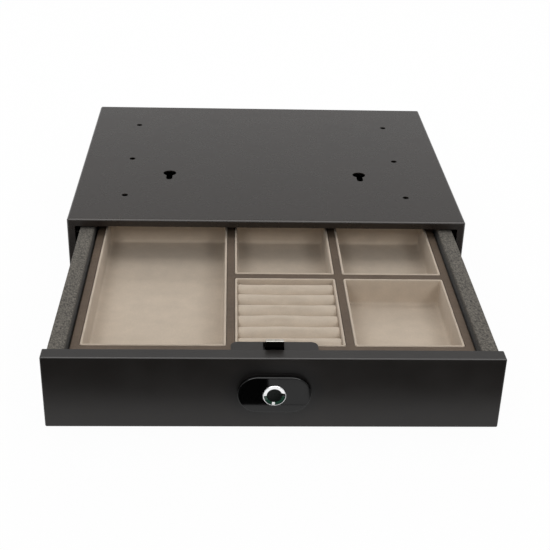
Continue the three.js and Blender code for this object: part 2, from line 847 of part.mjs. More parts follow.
// The bolt's two guide walls, the spring's shelf and peg, and the motor's cradle
function lockInsides() {
  const wallIn = boltWidth / 2 + boltPlay;
  const wallOut = wallIn + guideWall;
  const rear = lockInsideBack + lockWall / 2;
  const top = raisedTop - lockWall / 2;
  const shelfBottom = shelfTop - shelfThickness;
  const springY = (stemFront + boltBack) / 2;
  const axisX = motorStart() + cradleInset;
  const endX = motorStart() + gearboxLength + motorCanLength - cradleInset;
  const cradleFront = pinionAxis + motorDepth / 2 + seat;
  const cradleHalf = motorHeight / 2 - cradleInset;
  return [
    box(wallIn, wallOut, stemFront, rear, shelfBottom, top),
    box(-wallOut, -wallIn, stemFront, rear, shelfBottom, top),
    box(-wallOut, wallOut, stemFront - springWire, rear, shelfBottom, shelfTop),
    rod("Z", shelfTop - seat, shelfTop + pegHeight, [0, springY], pegRadius),
    box(axisX, endX, cradleFront, rear, pinionLevel - cradleHalf, pinionLevel + cradleHalf),
  ];
}

function boltSlot() {
  const half = boltWidth / 2 + boltPlay;
  return box(
    -half - slotSlack, half, raisedFront - raisedBehindPanel, boltBack + seat,
    railTop - lockWall - seat, raisedTop + overrun,
  );
}

function lockScrewSeats() {
  const narrow = lockScrewRadius + seat;
  const wide = lockScrewHeadRadius + seat;
  const deep = lockBack - lockScrewHeadDepth;
  return lockScrewPlaces().flatMap((centre) => [
    rod("Y", lockInsideBack - overrun, lockBack + overrun, centre, narrow),
    rod("Y", deep, lockBack, centre, narrow, wide),
  ]);
}

function lockScrew([x, z]) {
  const deep = lockBack - lockScrewHeadDepth;
  return joined([
    rod("Y", lockBack - lockScrewLength, lockBack, [x, z], lockScrewRadius),
    rod("Y", deep, lockBack, [x, z], lockScrewRadius, lockScrewHeadRadius),
  ]);
}

// The bolt seen from the side: flat front face, level strip, bevel down to the rear, and a
// thinner stem with the rack's teeth on its front
function latchBolt() {
  const points = [
    [boltFront, headBottom],
    [boltFront, boltTop],
    [boltFront + boltFlat, boltTop],
    [boltBack, boltTop - boltBevelDrop],
    [boltBack, stemBottom],
    [stemFront, stemBottom],
    ...rackPoints(),
    [stemFront, headBottom],
  ];
  return prism(outlineOf(points), "X", -boltWidth / 2, boltWidth / 2);
}

// Teeth from the lowest that meets the pinion at rest to the highest that meets it when the
// bolt is down. A tooth stands level with the pinion's axis.
function rackPoints() {
  const height = addendum + dedendum - toothPlay / 2;
  const halfAtPitch = toothPitch / 4 - toothPlay / 2;
  const lean = Math.tan(pressureAngle);
  const rootHalf = halfAtPitch + lean * dedendum;
  const tipHalf = rootHalf - lean * height;
  const points = [];
  for (let tooth = -1; tooth <= topTooth; tooth += 1) {
    const z = pinionLevel + tooth * toothPitch;
    points.push([stemFront, z - rootHalf], [stemFront - height, z - tipHalf]);
    points.push([stemFront - height, z + tipHalf], [stemFront, z + rootHalf]);
  }
  return points;
}

const involute = (angle) => Math.tan(angle) - angle;

// Half the angle that a pinion tooth fills at a radius outside its base circle
function toothHalfAngle(radius) {
  const baseRadius = pitchRadius * Math.cos(pressureAngle);
  const atRadius = Math.acos(Math.min(1, baseRadius / radius));
  const atPitch = toothPitch / 2 - toothPlay;
  return atPitch / (2 * pitchRadius) + involute(pressureAngle) - involute(atRadius);
}

function pinionOutline() {
  const rootRadius = pitchRadius - dedendum;
  const tipRadius = pitchRadius + addendum - toothPlay / 2;
  const baseRadius = pitchRadius * Math.cos(pressureAngle);
  const lowest = Math.max(baseRadius, rootRadius);
  const flank = [[rootRadius, toothHalfAngle(lowest)]];
  for (let i = 0; i <= flankSteps; i += 1) {
    const radius = lowest + ((tipRadius - lowest) * i) / flankSteps;
    flank.push([radius, toothHalfAngle(radius)]);
  }
  const points = [];
  for (let tooth = 0; tooth < pinionTeeth; tooth += 1) {
    const middle = ((tooth + 1 / 2) * 2 * Math.PI) / pinionTeeth;
    const rising = flank.map(([radius, half]) => [radius, middle - half]);
    const falling = flank.map(([radius, half]) => [radius, middle + half]).reverse();
    for (const [radius, angle] of [...rising, ...falling]) {
      points.push([
        pinionAxis + radius * Math.cos(angle),
        pinionLevel + radius * Math.sin(angle),
      ]);
    }
  }
  return outlineOf(points);
}

function motorStart() {
  return pinionWidth / 2 + motorGap;
}

function lockPinion() {
  const half = pinionWidth / 2;
  const wheel = prism(pinionOutline(), "X", -half, half);
  const shaftEnd = motorStart() - seat;
  return wheel.add(rod("X", -half - seat, shaftEnd, [pinionAxis, pinionLevel], shaftRadius));
}

function lockMotor() {
  const start = motorStart();
  const joint = start + gearboxLength;
  const end = joint + motorCanLength;
  const y0 = pinionAxis - motorDepth / 2;
  const y1 = pinionAxis + motorDepth / 2;
  const z0 = pinionLevel - motorHeight / 2;
  const z1 = pinionLevel + motorHeight / 2;
  return joined([
    box(start, joint, y0, y1, z0, z1),
    prism(roundedOutline(y0, y1, z0, z1, motorRound), "X", joint - seat, end),
  ]);
}

// A close coil, its ends cut square
class SpringPath extends THREE.Curve {
  getPoint(share) {
    const angle = share * springTurns * 2 * Math.PI;
    const length = springLength - springWire;
    const middleY = (stemFront + boltBack) / 2;
    return new THREE.Vector3(
      springMeanRadius * Math.cos(angle),
      middleY + springMeanRadius * Math.sin(angle),
      shelfTop + seat + springWire / 2 + length * share,
    );
  }
}

function boltSpring() {
  const wire = [];
  for (let i = 0; i < springWireSteps; i += 1) {
    const angle = (i * 2 * Math.PI) / springWireSteps;
    wire.push([Math.cos(angle) * (springWire / 2), Math.sin(angle) * (springWire / 2)]);
  }
  const geometry = new THREE.ExtrudeGeometry(outlineOf(wire), {
    extrudePath: new SpringPath(),
    steps: springTurns * springTurnSteps,
    bevelEnabled: false,
  });
  return solid(geometry);
}

function circuitBoard() {
  const y0 = liningFront + boardFromWall;
  const y1 = y0 + boardSheet;
  const half = boardWidth / 2;
  const z0 = lockFloor + boardAboveFloor;
  const z1 = railTop - lockWall - seat;
  const chipZ = z0 + chipSize;
  return joined([
    box(-half, half, y0, y1, z0, z1),
    box(-half / 2 - chipSize, -half / 2, y0 - chipHeight, y0 + seat, chipZ, chipZ + chipSize),
    box(half / 2, half / 2 + chipSize, y0 - chipHeight, y0 + seat, chipZ, chipZ + chipSize / 2),
  ]);
}

function battery(hand) {
  const outEnd = batteryLength / 2;
  const rim = batteryRadius - batteryShoulder / 2;
  const profile = [
    [0, -outEnd],
    [rim, -outEnd],
    [batteryRadius, batteryShoulder / 2 - outEnd],
    [batteryRadius, outEnd - batteryShoulder],
    [rim, outEnd - batteryNub],
    [batteryNubRadius, outEnd - batteryNub],
    [batteryNubRadius, outEnd],
    [0, outEnd],
  ];
  const points = profile.map(([radius, along]) => new THREE.Vector2(radius, along));
  const geometry = new THREE.LatheGeometry(points, roundSteps);
  geometry.rotateZ(-Math.PI / 2);
  const x = hand * (outEnd + seat / 2);
  const y = lockInsideBack - batteryFromBack - batteryRadius;
  const z = lockFloor + seat + batteryRadius;
  geometry.translate(x, y, z);
  return solid(geometry);
}

// A rounded bar, its front edge eased
function fascia() {
  const half = fasciaWidth / 2 - fasciaEdge;
  const tall = fasciaHeight / 2 - fasciaEdge;
  const outline = roundedOutline(-half, half, fasciaLevel - tall, fasciaLevel + tall, tall);
  const geometry = new THREE.ExtrudeGeometry(outline, {
    depth: fasciaProud,
    bevelThickness: fasciaEdge,
    bevelSize: fasciaEdge,
    bevelSegments: bendSteps,
    curveSegments: roundSteps / 3,
  });
  geometry.applyMatrix4(new THREE.Matrix4().makeBasis(...outlineAxes.Y));
  geometry.translate(0, fasciaFace + fasciaEdge + fasciaProud, 0);
  const behind = box(
    -fasciaWidth, fasciaWidth, fasciaBack, front + fasciaProud,
    fasciaLevel - fasciaHeight, fasciaLevel + fasciaHeight,
  );
  return cutBy(solid(geometry), [behind, fasciaHole(fasciaFace - overrun, front)]);
}

// A raised ring: a narrow crest near its outside, and a slope from there down to the sensor
function sensorRing() {
  const foot = fasciaFace - seat;
  const crest = ringRadius - ringEase;
  return turned(
    [
      [ringHoleRadius, foot],
      [ringHoleRadius, foot - ringEdge],
      [crest - ringCrest, ringFace],
      [crest, ringFace],
      [ringRadius, ringFace + ringEase],
      [ringRadius, foot],
      [ringHoleRadius, foot],
    ],
    0,
    fasciaLevel,
  );
}

function fingerprintSensor() {
  const rim = ringFace + sensorRecess;
  const rear = liningFront + boardFromWall - seat;
  return turned(
    [
      [0, rim + sensorDish],
      [sensorRadius * Math.SQRT1_2, rim + sensorDish / 2],
      [sensorRadius, rim],
      [sensorRadius, rear],
      [0, rear],
    ],
    0,
    fasciaLevel,
  );
}

// Tray

// The five cells as (x0, x1, y0, y1) pockets in the tray
function cellPockets() {
  const left = trayBorder - traySide;
  const right = traySide - trayBorder;
  const middleLeft = left + largeCellWidth + trayStrip;
  const columnWidth = (right - middleLeft - trayStrip) / 2;
  const middleRight = middleLeft + columnWidth;
  const rightLeft = middleRight + trayStrip;
  const near = trayFront + trayEndBorder;
  const far = trayBack - trayEndBorder;
  const rearNear = far - rearCellLength;
  const frontFar = rearNear - trayCrossStrip;
  return {
    large: { x0: left, x1: left + largeCellWidth, y0: near, y1: far },
    ring: { x0: middleLeft, x1: middleRight, y0: near, y1: frontFar },
    middle: { x0: middleLeft, x1: middleRight, y0: rearNear, y1: far },
    corner: { x0: rightLeft, x1: right, y0: near, y1: frontFar },
    right: { x0: rightLeft, x1: right, y0: rearNear, y1: far },
  };
}

function inset(cell, by) {
  const outline = [cell.x0 + by, cell.x1 - by, cell.y0 + by, cell.y1 - by];
  return roundedOutline(...outline, Math.max(cellCorner - by, linerCorner));
}

function trayFrame() {
  const whole = roundedBox(
    -traySide, traySide, trayFront, trayBack, trayBottom, trayTop, trayRound,
  );
  const pockets = Object.values(cellPockets()).map((cell) =>
    prism(inset(cell, 0), "Z", pocketFloor, trayTop + overrun),
  );
  return cutBy(whole, pockets);
}

function cellLiner(cell) {
  const outer = prism(inset(cell, seat), "Z", pocketFloor + seat, trayTop + rimProud);
  const hollow = prism(
    inset(cell, seat + cellWall), "Z", cellFloorLevel, trayTop + rimProud + overrun,
  );
  return outer.subtract(hollow);
}

// Half of a roll's section, from the foot up to the crown, then the other half
function rollSection(x, middleY, width, height, scale) {
  const foot = cellFloorLevel + seat;
  const half = (width / 2) * scale;
  const straight = height * rollStraightShare;
  const crown = (height - straight) * scale;
  const section = [
    new THREE.Vector3(x, middleY - half * rollFootShare, foot),
    new THREE.Vector3(x, middleY + half * rollFootShare, foot),
  ];
  for (let i = 0; i <= rollArcSteps; i += 1) {
    const angle = (i * Math.PI) / rollArcSteps;
    const y = middleY + half * Math.cos(angle);
    section.push(new THREE.Vector3(x, y, foot + straight + crown * Math.sin(angle)));
  }
  return section;
}

function ringRoll(number) {
  const cell = cellPockets().ring;
  const wall = seat + cellWall + seat;
  const x0 = cell.x0 + wall;
  const x1 = cell.x1 - wall;
  const pitch = (cell.y1 - cell.y0 - 2 * (wall - rollGap / 2)) / rollCount;
  const middleY = cell.y0 + wall - rollGap / 2 + pitch * (number - 1 / 2);
  const width = pitch - rollGap;
  const height = trayTop - rollBelowRim - cellFloorLevel - seat;
  const length = x1 - x0;
  const near = rollEndShares.map((share, i) => [x0 + share * length, rollEndScaleShares[i]]);
  const far = rollEndShares.map((share, i) => [x1 - share * length, rollEndScaleShares[i]]);
  const stations = [...near, ...far.reverse()];
  return lofted(
    stations.map(([x, scale]) => rollSection(x, middleY, width, height, scale)),
  );
}

// Assembly
const safe = new THREE.Group();
const casing = new THREE.Group();
const drawer = new THREE.Group();
drawer.position.y = -drawnOut;
safe.add(casing, drawer);

place(casing, "case_shell", caseShell(), "paintedSteel");
place(casing, "case_floor", caseFloor(), "paintedSteel");
place(casing, "case_back", caseBack(), "paintedSteel");
place(casing, "strike_plate", strikePlate(), "zincSteel");
placePair(casing, "slide_bracket", slideBracket(), "paintedSteel");
placePair(casing, "slide_outer", slideOuter(), "zincSteel");
const caseScrewLength = outerSheet + seat + bracketSheet + slideScrewHeadDepth;
slideScrewPlaces().forEach((y, i) => {
  const screw = slideScrew(outerWeb, 1, caseScrewLength, y);
  placePair(casing, "case_slide_screw", screw, "zincSteel", "_" + (i + 1));
});

const movingMembers = [
  ["slide_middle", slideMiddle(), middleFollowShare],
  ["outer_ball_cage", outerCage(), outerCageFollowShare],
  ["inner_ball_cage", innerCage(), innerCageFollowShare],
];
for (const [name, made, share] of movingMembers) {
  const carried = new THREE.Group();
  carried.position.y = -drawnOut * share;
  safe.add(carried);
  placePair(carried, name, made, "zincSteel");
}

placePair(drawer, "slide_inner", slideInner(), "zincSteel");
const tubScrewLength = innerSheet + seat + tubSheet;
slideScrewPlaces().forEach((y, i) => {
  const screw = slideScrew(slideInnerFace + innerSheet, -1, tubScrewLength, y);
  placePair(drawer, "tub_slide_screw", screw, "zincSteel", "_" + (i + 1));
});
place(drawer, "drawer_tub", drawerTub(), "paintedSteel");
place(drawer, "front_panel", frontPanel(), "paintedSteel");
placePair(drawer, "rail_cover", railCover(), "greyFelt");
place(drawer, "floor_liner", floorLiner(), "greyFelt");
placePair(drawer, "tray_ledge", trayLedge(), "paintedSteel");

place(drawer, "lock_housing", lockHousing(), "blackPlastic");
place(drawer, "latch_bolt", latchBolt(), "polishedSteel");
place(drawer, "bolt_spring", boltSpring(), "zincSteel");
place(drawer, "lock_pinion", lockPinion(), "polishedSteel");
place(drawer, "lock_motor", lockMotor(), "zincSteel");
place(drawer, "circuit_board", circuitBoard(), "boardGreen");
place(drawer, "battery_right", battery(1), "batteryWrap");
place(drawer, "battery_left", battery(-1), "batteryWrap");
lockScrewPlaces().forEach((centre, i) => {
  place(drawer, "lock_screw_" + (i + 1), lockScrew(centre), "zincSteel");
});
place(drawer, "fascia", fascia(), "glossBlack");
place(drawer, "sensor_ring", sensorRing(), "chrome");
place(drawer, "fingerprint_sensor", fingerprintSensor(), "sensorGlass");

const tray = new THREE.Group();
drawer.add(tray);
place(tray, "tray_frame", trayFrame(), "leatherCloth");
for (const [name, cell] of Object.entries(cellPockets())) {
  place(tray, "liner_" + name, cellLiner(cell), "velour");
}
for (let number = 1; number <= rollCount; number += 1) {
  place(tray, "ring_roll_" + number, ringRoll(number), "velour");
}

export default safe;
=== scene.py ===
"""Looks of an under desk drawer safe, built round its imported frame.

The classes hold their sizes in millimetres and make their meshes in metres, in the frame's own
places. Pieces are made at rest, with the drawer drawn out.
"""

import json
import logging
import math
from collections.abc import Callable, Iterable, Iterator, Sequence
from contextlib import contextmanager
from dataclasses import dataclass, field
from enum import Enum

import bmesh
import bpy
from mathutils import Matrix, Vector, noise

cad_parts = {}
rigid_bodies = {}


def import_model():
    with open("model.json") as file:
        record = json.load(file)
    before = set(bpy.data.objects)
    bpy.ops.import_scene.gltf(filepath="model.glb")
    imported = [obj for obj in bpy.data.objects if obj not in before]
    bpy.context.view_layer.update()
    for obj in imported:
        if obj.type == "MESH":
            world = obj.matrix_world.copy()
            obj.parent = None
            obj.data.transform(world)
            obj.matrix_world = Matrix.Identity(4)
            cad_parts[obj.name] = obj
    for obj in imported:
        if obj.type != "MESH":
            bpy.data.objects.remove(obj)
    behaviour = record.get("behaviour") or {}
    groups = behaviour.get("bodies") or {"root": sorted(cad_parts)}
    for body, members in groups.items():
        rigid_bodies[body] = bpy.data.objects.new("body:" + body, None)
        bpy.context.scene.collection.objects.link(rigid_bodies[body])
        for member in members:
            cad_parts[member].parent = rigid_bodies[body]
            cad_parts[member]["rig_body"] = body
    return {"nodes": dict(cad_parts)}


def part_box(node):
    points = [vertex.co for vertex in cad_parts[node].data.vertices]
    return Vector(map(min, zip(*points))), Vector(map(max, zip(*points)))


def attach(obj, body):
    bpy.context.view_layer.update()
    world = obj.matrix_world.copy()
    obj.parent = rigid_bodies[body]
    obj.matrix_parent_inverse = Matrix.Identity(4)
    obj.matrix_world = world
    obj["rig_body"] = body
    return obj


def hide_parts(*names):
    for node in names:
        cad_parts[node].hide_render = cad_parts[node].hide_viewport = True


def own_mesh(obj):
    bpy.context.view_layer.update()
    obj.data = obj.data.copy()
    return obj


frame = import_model()

MM = 0.001
WELD = 1e-6  # metres; points closer than this are one
FLAT = math.radians(1)  # faces that meet at less than this are one
SEED_WAYS = (1, 1.7, 0.6)  # where a seed moves a pattern, along each axis

log = logging.getLogger("safe")

Piece = bpy.types.Object
Socket = bpy.types.NodeSocket
Flat = tuple[float, float]
Point = tuple[float, float, float]
Colour = tuple[int, int, int]


class Axis(Enum):
    """The line that a profile is turned about or an outline is run along."""

    X = 0
    Y = 1
    Z = 2

    def point(self, along: float, u: float, v: float) -> Point:
        """Gives a point from its place along the line and its other two places in order."""
        return (u, v)[:self.value] + (along,) + (u, v)[self.value:]


class Hand(Enum):
    """The side of the safe that a piece is on."""

    RIGHT = 1
    LEFT = -1

    @property
    def word(self) -> str:
        """The side's name as the frame's nodes write it."""
        return self.name.lower()


# Mesh tools


def box_of(node: str) -> tuple[Vector, Vector]:
    """Gives the lowest and highest corner of a frame node.

    Args:
        node: The node's name.

    Returns:
        The two corners at rest, in millimetres.
    """
    low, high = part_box(node)
    return low / MM, high / MM


def linked(name: str, data: bpy.types.ID) -> Piece:
    """Puts a mesh, lamp or camera into the scene as an object at the origin.

    Args:
        name: The object's name.
        data: What it holds, in metres.

    Returns:
        The new object.
    """
    made = bpy.data.objects.new(name, data)
    bpy.context.scene.collection.objects.link(made)
    return made


def mesh_piece(name: str, points: Iterable[Point], faces: Iterable[Sequence[int]]) -> Piece:
    """Makes a piece from points and faces.

    Args:
        name: The piece's name.
        points: Its points, in millimetres.
        faces: The points of each face, by number.

    Returns:
        The new piece.
    """
    mesh = bpy.data.meshes.new(name)
    mesh.from_pydata([Vector(point) * MM for point in points], [], list(faces))
    mesh.update()
    return linked(name, mesh)


@contextmanager
def mesh_work(piece: Piece) -> Iterator[bmesh.types.BMesh]:
    """Opens a piece's mesh for work and puts the result back.

    Args:
        piece: The piece to work on.

    Returns:
        The open mesh, in metres.
    """
    work = bmesh.new()
    work.from_mesh(piece.data)
    yield work
    work.to_mesh(piece.data)
    work.free()


def bevelled(
    work: bmesh.types.BMesh, edges: list[bmesh.types.BMEdge], width: float, steps: int
) -> None:
    """Rounds edges of an open mesh.

    Args:
        work: The mesh.
        edges: Its edges to round.
        width: Size of the rounding, in millimetres.
        steps: Facets of the rounding.
    """
    bmesh.ops.bevel(
        work, geom=edges, offset=width * MM, offset_type="OFFSET", segments=steps,
        profile=0.5, affect="EDGES",
    )


def turned_outward(piece: Piece) -> Piece:
    """Merges a closed piece's doubled points and points its faces outwards.

    Args:
        piece: The piece to put right.

    Returns:
        The same piece.
    """
    with mesh_work(piece) as work:
        bmesh.ops.remove_doubles(work, verts=work.verts, dist=WELD)
        bmesh.ops.recalc_face_normals(work, faces=work.faces)
    return piece


def baked(piece: Piece) -> Piece:
    """Turns a piece with live modifiers into a plain mesh.

    Args:
        piece: The piece whose modifiers are applied.

    Returns:
        The same piece.
    """
    graph = bpy.context.evaluated_depsgraph_get()
    mesh = bpy.data.meshes.new_from_object(piece.evaluated_get(graph), depsgraph=graph)
    old = piece.data
    piece.modifiers.clear()
    piece.data = mesh
    bpy.data.meshes.remove(old)
    return piece


def shaded(piece: Piece, degrees: float = 35) -> Piece:
    """Shades a piece smooth, with a crease at each sharper edge.

    Args:
        piece: The piece to shade.
        degrees: Edges sharper than this stay creases.

    Returns:
        The same piece.
    """
    piece.data.shade_smooth()
    piece.data.set_sharp_from_angle(angle=math.radians(degrees))
    return piece


def softened(piece: Piece, width: float, steps: int = 2, degrees: float = 35) -> Piece:
    """Rounds a piece's sharp edges a little, as paint, plating and tools leave them.

    Args:
        piece: The piece to round.
        width: How far from the edge the rounding starts, in millimetres.
        steps: Facets of the rounding.
        degrees: Edges sharper than this are rounded.

    Returns:
        The same piece.
    """
    ease = piece.modifiers.new("ease", "BEVEL")
    ease.width = width * MM
    ease.segments = steps
    ease.limit_method = "ANGLE"
    ease.angle_limit = math.radians(degrees)
    ease.miter_outer = "MITER_ARC"
    shaded(baked(piece), degrees)
    level = piece.modifiers.new("level", "WEIGHTED_NORMAL")
    level.weight = 100
    level.keep_sharp = True
    return baked(piece)


def merged_copy(node: str, name: str) -> Piece:
    """Copies a frame node's shape, its triangles merged into flat faces.

    Args:
        node: The node whose shape is right.
        name: The new piece's name.

    Returns:
        The new piece.
    """
    mesh = frame["nodes"][node].data
    points = [vertex.co / MM for vertex in mesh.vertices]
    piece = mesh_piece(name, points, [tuple(face.vertices) for face in mesh.polygons])
    with mesh_work(piece) as work:
        bmesh.ops.remove_doubles(work, verts=work.verts, dist=WELD)
        bmesh.ops.dissolve_limit(work, angle_limit=FLAT, verts=work.verts, edges=work.edges)
    return piece


def eased(node: str, name: str, width: float, steps: int = 2) -> Piece:
    """Copies a frame node's shape and rounds its sharp edges.

    Args:
        node: The node whose shape is right.
        name: The new piece's name.
        width: Size of the rounding, in millimetres.
        steps: Facets of the rounding.

    Returns:
        The new piece.
    """
    return softened(merged_copy(node, name), width, steps)


def lofted(name: str, rings: Sequence[Sequence[Point]], wrapped: bool = False) -> Piece:
    """Skins rings with equal counts of points.

    Args:
        name: The piece's name.
        rings: The rings in order, in millimetres.
        wrapped: Whether the last ring joins the first; both ends are closed if not.

    Returns:
        The new piece.
    """
    count = len(rings[0])
    last = (len(rings) - 1) * count
    faces: list[Sequence[int]] = []
    for start in range(0, last + count if wrapped else last, count):
        after = (start + count) % (last + count)
        for i in range(count):
            j = (i + 1) % count
            faces.append((start + i, start + j, after + j, after + i))
    if not wrapped:
        faces += [tuple(reversed(range(count))), tuple(range(last, last + count))]
    points = [point for ring in rings for point in ring]
    return turned_outward(mesh_piece(name, points, faces))


def arc(centre: Flat, radius: float, start: float, end: float, steps: int) -> list[Flat]:
    """Gives points on part of a circle.

    Args:
        centre: The circle's centre.
        radius: Its radius.
        start: First angle, in degrees.
        end: Last angle, in degrees.
        steps: Facets between them.

    Returns:
        The points, both ends included.
    """
    points = []
    for i in range(steps + 1):
        angle = math.radians(start + (end - start) * i / steps)
        points.append(
            (centre[0] + radius * math.cos(angle), centre[1] + radius * math.sin(angle))
        )
    return points


def revolved(
    name: str, profile: Sequence[Flat], axis: Axis, centre: Flat, steps: int = 64
) -> Piece:
    """Turns a profile that starts and ends on a line once round the line.

    Args:
        name: The piece's name.
        profile: Points as (radius, place along the line), in millimetres.
        axis: The direction of the line.
        centre: Where the line crosses the other two axes.
        steps: Facets of the round.

    Returns:
        The new piece.
    """
    return lofted(name, [
        [axis.point(along, u, v) for u, v in arc(centre, radius, 0, 360, steps)[:-1]]
        for radius, along in profile
    ])


def rounded_outline(
    low: Sequence[float], high: Sequence[float], inset: float, radius: float, steps: int,
    side_steps: int = 1,
) -> list[Flat]:
    """Gives the outline of a rectangle with round corners, anticlockwise.

    Args:
        low: Its lowest corner.
        high: Its highest corner.
        inset: How far the outline is drawn in from its sides.
        radius: The corners' radius.
        steps: Facets of a corner.
        side_steps: Pieces that each straight side is cut into.

    Returns:
        The outline's points.
    """
    u0, v0 = (place + inset for place in low)
    u1, v1 = (place - inset for place in high)
    corners = [
        arc((u1 - radius, v0 + radius), radius, -90, 0, steps),
        arc((u1 - radius, v1 - radius), radius, 0, 90, steps),
        arc((u0 + radius, v1 - radius), radius, 90, 180, steps),
        arc((u0 + radius, v0 + radius), radius, 180, 270, steps),
    ]
    points = []
    for corner, after in zip(corners, [*corners[1:], corners[0]]):
        points += corner
        (ua, va), (ub, vb) = corner[-1], after[0]
        for i in range(1, side_steps):
            share = i / side_steps
            points.append((ua + (ub - ua) * share, va + (vb - va) * share))
    return points


def prism(name: str, outline: Sequence[Flat], axis: Axis, start: float, end: float) -> Piece:
    """Runs a flat outline along an axis.

    Args:
        name: The piece's name.
        outline: Points in the other two axes, in the order x, y, z.
        axis: The direction of the run.
        start: Where it starts, in millimetres.
        end: Where it ends.

    Returns:
        The new piece.
    """
    return lofted(
        name, [[axis.point(place, u, v) for u, v in outline] for place in (start, end)]
    )


def cut(piece: Piece, cutters: Iterable[Piece]) -> Piece:
    """Takes other pieces' shapes out of a piece and deletes them.

    Args:
        piece: The piece to cut.
        cutters: The shapes to take out.

    Returns:
        The same piece.
    """
    made = list(cutters)
    for cutter in made:
        bite = piece.modifiers.new("cut", "BOOLEAN")
        bite.operation = "DIFFERENCE"
        bite.solver = "EXACT"
        bite.object = cutter
    baked(piece)
    for cutter in made:
        mesh = cutter.data
        bpy.data.objects.remove(cutter)
        bpy.data.meshes.remove(mesh)
    return piece


def folded(
    name: str, points: Sequence[Point], faces: Sequence[Sequence[int]], bend: float,
    sheet: float, steps: int = 6,
) -> Piece:
    """Makes a piece of folded sheet from its outer faces.

    Args:
        name: The piece's name.
        points: Corners of the outer faces, in millimetres.
        faces: The outer faces, seen anticlockwise from outside.
        bend: Outer radius of the folds.
        sheet: Thickness, which goes inwards.
        steps: Facets of a fold.

    Returns:
        The new piece, not yet eased at its rims.
    """
    piece = mesh_piece(name, points, faces)
    with mesh_work(piece) as work:
        folds = [edge for edge in work.edges if len(edge.link_faces) == 2]
        bevelled(work, folds, bend, steps)
    wall = piece.modifiers.new("sheet", "SOLIDIFY")
    wall.thickness = sheet * MM
    wall.offset = -1
    wall.use_even_offset = True
    return baked(piece)


def wobble(place: Point, size: float, height: float, seed: float = 0) -> float:
    """Gives a smooth, repeatable unevenness.

    Args:
        place: Where it is read, in millimetres.
        size: How far apart its swells are.
        height: Its greatest reach either way.
        seed: Moves the pattern, so that two pieces differ.

    Returns:
        The offset there, in millimetres.
    """
    where = Vector(place) / size + Vector([seed * way for way in SEED_WAYS])
    return noise.noise(where) * height


# Shader tools


def linear(colour: Colour) -> tuple[float, float, float, float]:
    """Turns a colour into the shader's values.

    Args:
        colour: The colour as it is seen, 0 to 255.

    Returns:
        Red, green, blue and a full alpha, 0 to 1.
    """
    shares = [part / 255 for part in colour]
    values = [s / 12.92 if s <= 0.04045 else ((s + 0.055) / 1.055) ** 2.4 for s in shares]
    return (*values, 1)


def toned(colour: Colour, share: float) -> Colour:
    """Gives a lighter or darker colour, by a share."""
    return tuple(min(255, round(part * share)) for part in colour)


class Graph:
    """A node tree as it is being written."""

    def __init__(self, tree: bpy.types.NodeTree) -> None:
        """Starts on a tree."""
        self.tree = tree

    def node(
        self, kind: str, inputs: dict[str | int, object] | None = None, **settings: object
    ) -> bpy.types.Node:
        """Adds a node.

        Args:
            kind: The node's type.
            inputs: What its inputs get, by name or number: a socket or a plain value.
            **settings: Its properties.

        Returns:
            The new node.
        """
        made = self.tree.nodes.new(kind)
        for key, value in settings.items():
            setattr(made, key, value)
        for key, value in (inputs or {}).items():
            self.feed(made.inputs[key], value)
        return made

    def feed(self, target: Socket, value: object) -> None:
        """Gives an input a link or a plain value.

        Args:
            target: The input.
            value: The socket or the plain value that it gets.
        """
        if isinstance(value, Socket):
            self.tree.links.new(value, target)
        else:
            target.default_value = value

    def maths(self, operation: str, *terms: object) -> Socket:
        """Adds a sum.

        Args:
            operation: The name of the sum.
            *terms: Its sockets or numbers.

        Returns:
            The result's socket.
        """
        return self.node(
            "ShaderNodeMath", dict(enumerate(terms)), operation=operation
        ).outputs[0]

    def vector(self, *parts: object) -> Socket:
        """Gives a vector of three sockets or numbers."""
        return self.node("ShaderNodeCombineXYZ", dict(enumerate(parts))).outputs[0]

    def ranged(self, value: Socket, levels: Flat, smooth: bool = False) -> Socket:
        """Turns a value into a mask that rises from 0 to 1 between two levels.

        Args:
            value: The value.
            levels: Where the mask is 0 and where it is 1.
            smooth: Whether it rises smoothly.

        Returns:
            The mask.
        """
        rise = self.node(
            "ShaderNodeMapRange", {"Value": value, "From Min": levels[0], "From Max": levels[1]},
            interpolation_type="SMOOTHSTEP" if smooth else "LINEAR",
        )
        return rise.outputs["Result"]


class EffectGraph(Graph):
    """A shader node group that reads the object's own coordinates, as it is being written."""

    def __init__(self, name: str, inputs: dict[str, float], outputs: Sequence[str]) -> None:
        """Starts a group.

        Args:
            name: The group's name.
            inputs: Its number inputs with their usual values.
            outputs: Its number outputs.
        """
        super().__init__(bpy.data.node_groups.new(name, "ShaderNodeTree"))
        face = self.tree.interface
        for key, value in inputs.items():
            socket = face.new_socket(key, in_out="INPUT", socket_type="NodeSocketFloat")
            socket.default_value = value
        for key in outputs:
            face.new_socket(key, in_out="OUTPUT", socket_type="NodeSocketFloat")
        self.given = self.node("NodeGroupInput").outputs
        self.result = self.node("NodeGroupOutput").inputs
        self.place = self.node("ShaderNodeTexCoord").outputs["Object"]

    def cloud(self, place: Socket, detail: object) -> bpy.types.Node:
        """Adds noise of the group's scale, read at a place, with a detail."""
        inputs = {"Vector": place, "Scale": self.given["Scale"], "Detail": detail}
        return self.node("ShaderNodeTexNoise", inputs)

    def strands(self, place: Socket, *lengths: object) -> Socket:
        """Gives noise that is drawn out.

        Args:
            place: Where it is read.
            *lengths: How far it is drawn out along each axis.

        Returns:
            The noise.
        """
        squeeze = self.node(
            "ShaderNodeVectorMath", {0: place, 1: self.vector(*lengths)}, operation="DIVIDE"
        )
        return self.cloud(squeeze.outputs[0], 2).outputs["Fac"]

    def close(self, **values: Socket) -> bpy.types.NodeTree:
        """Ends the group.

        Args:
            **values: What its outputs give.

        Returns:
            The finished group.
        """
        for key, value in values.items():
            self.feed(self.result[key], value)
        return self.tree


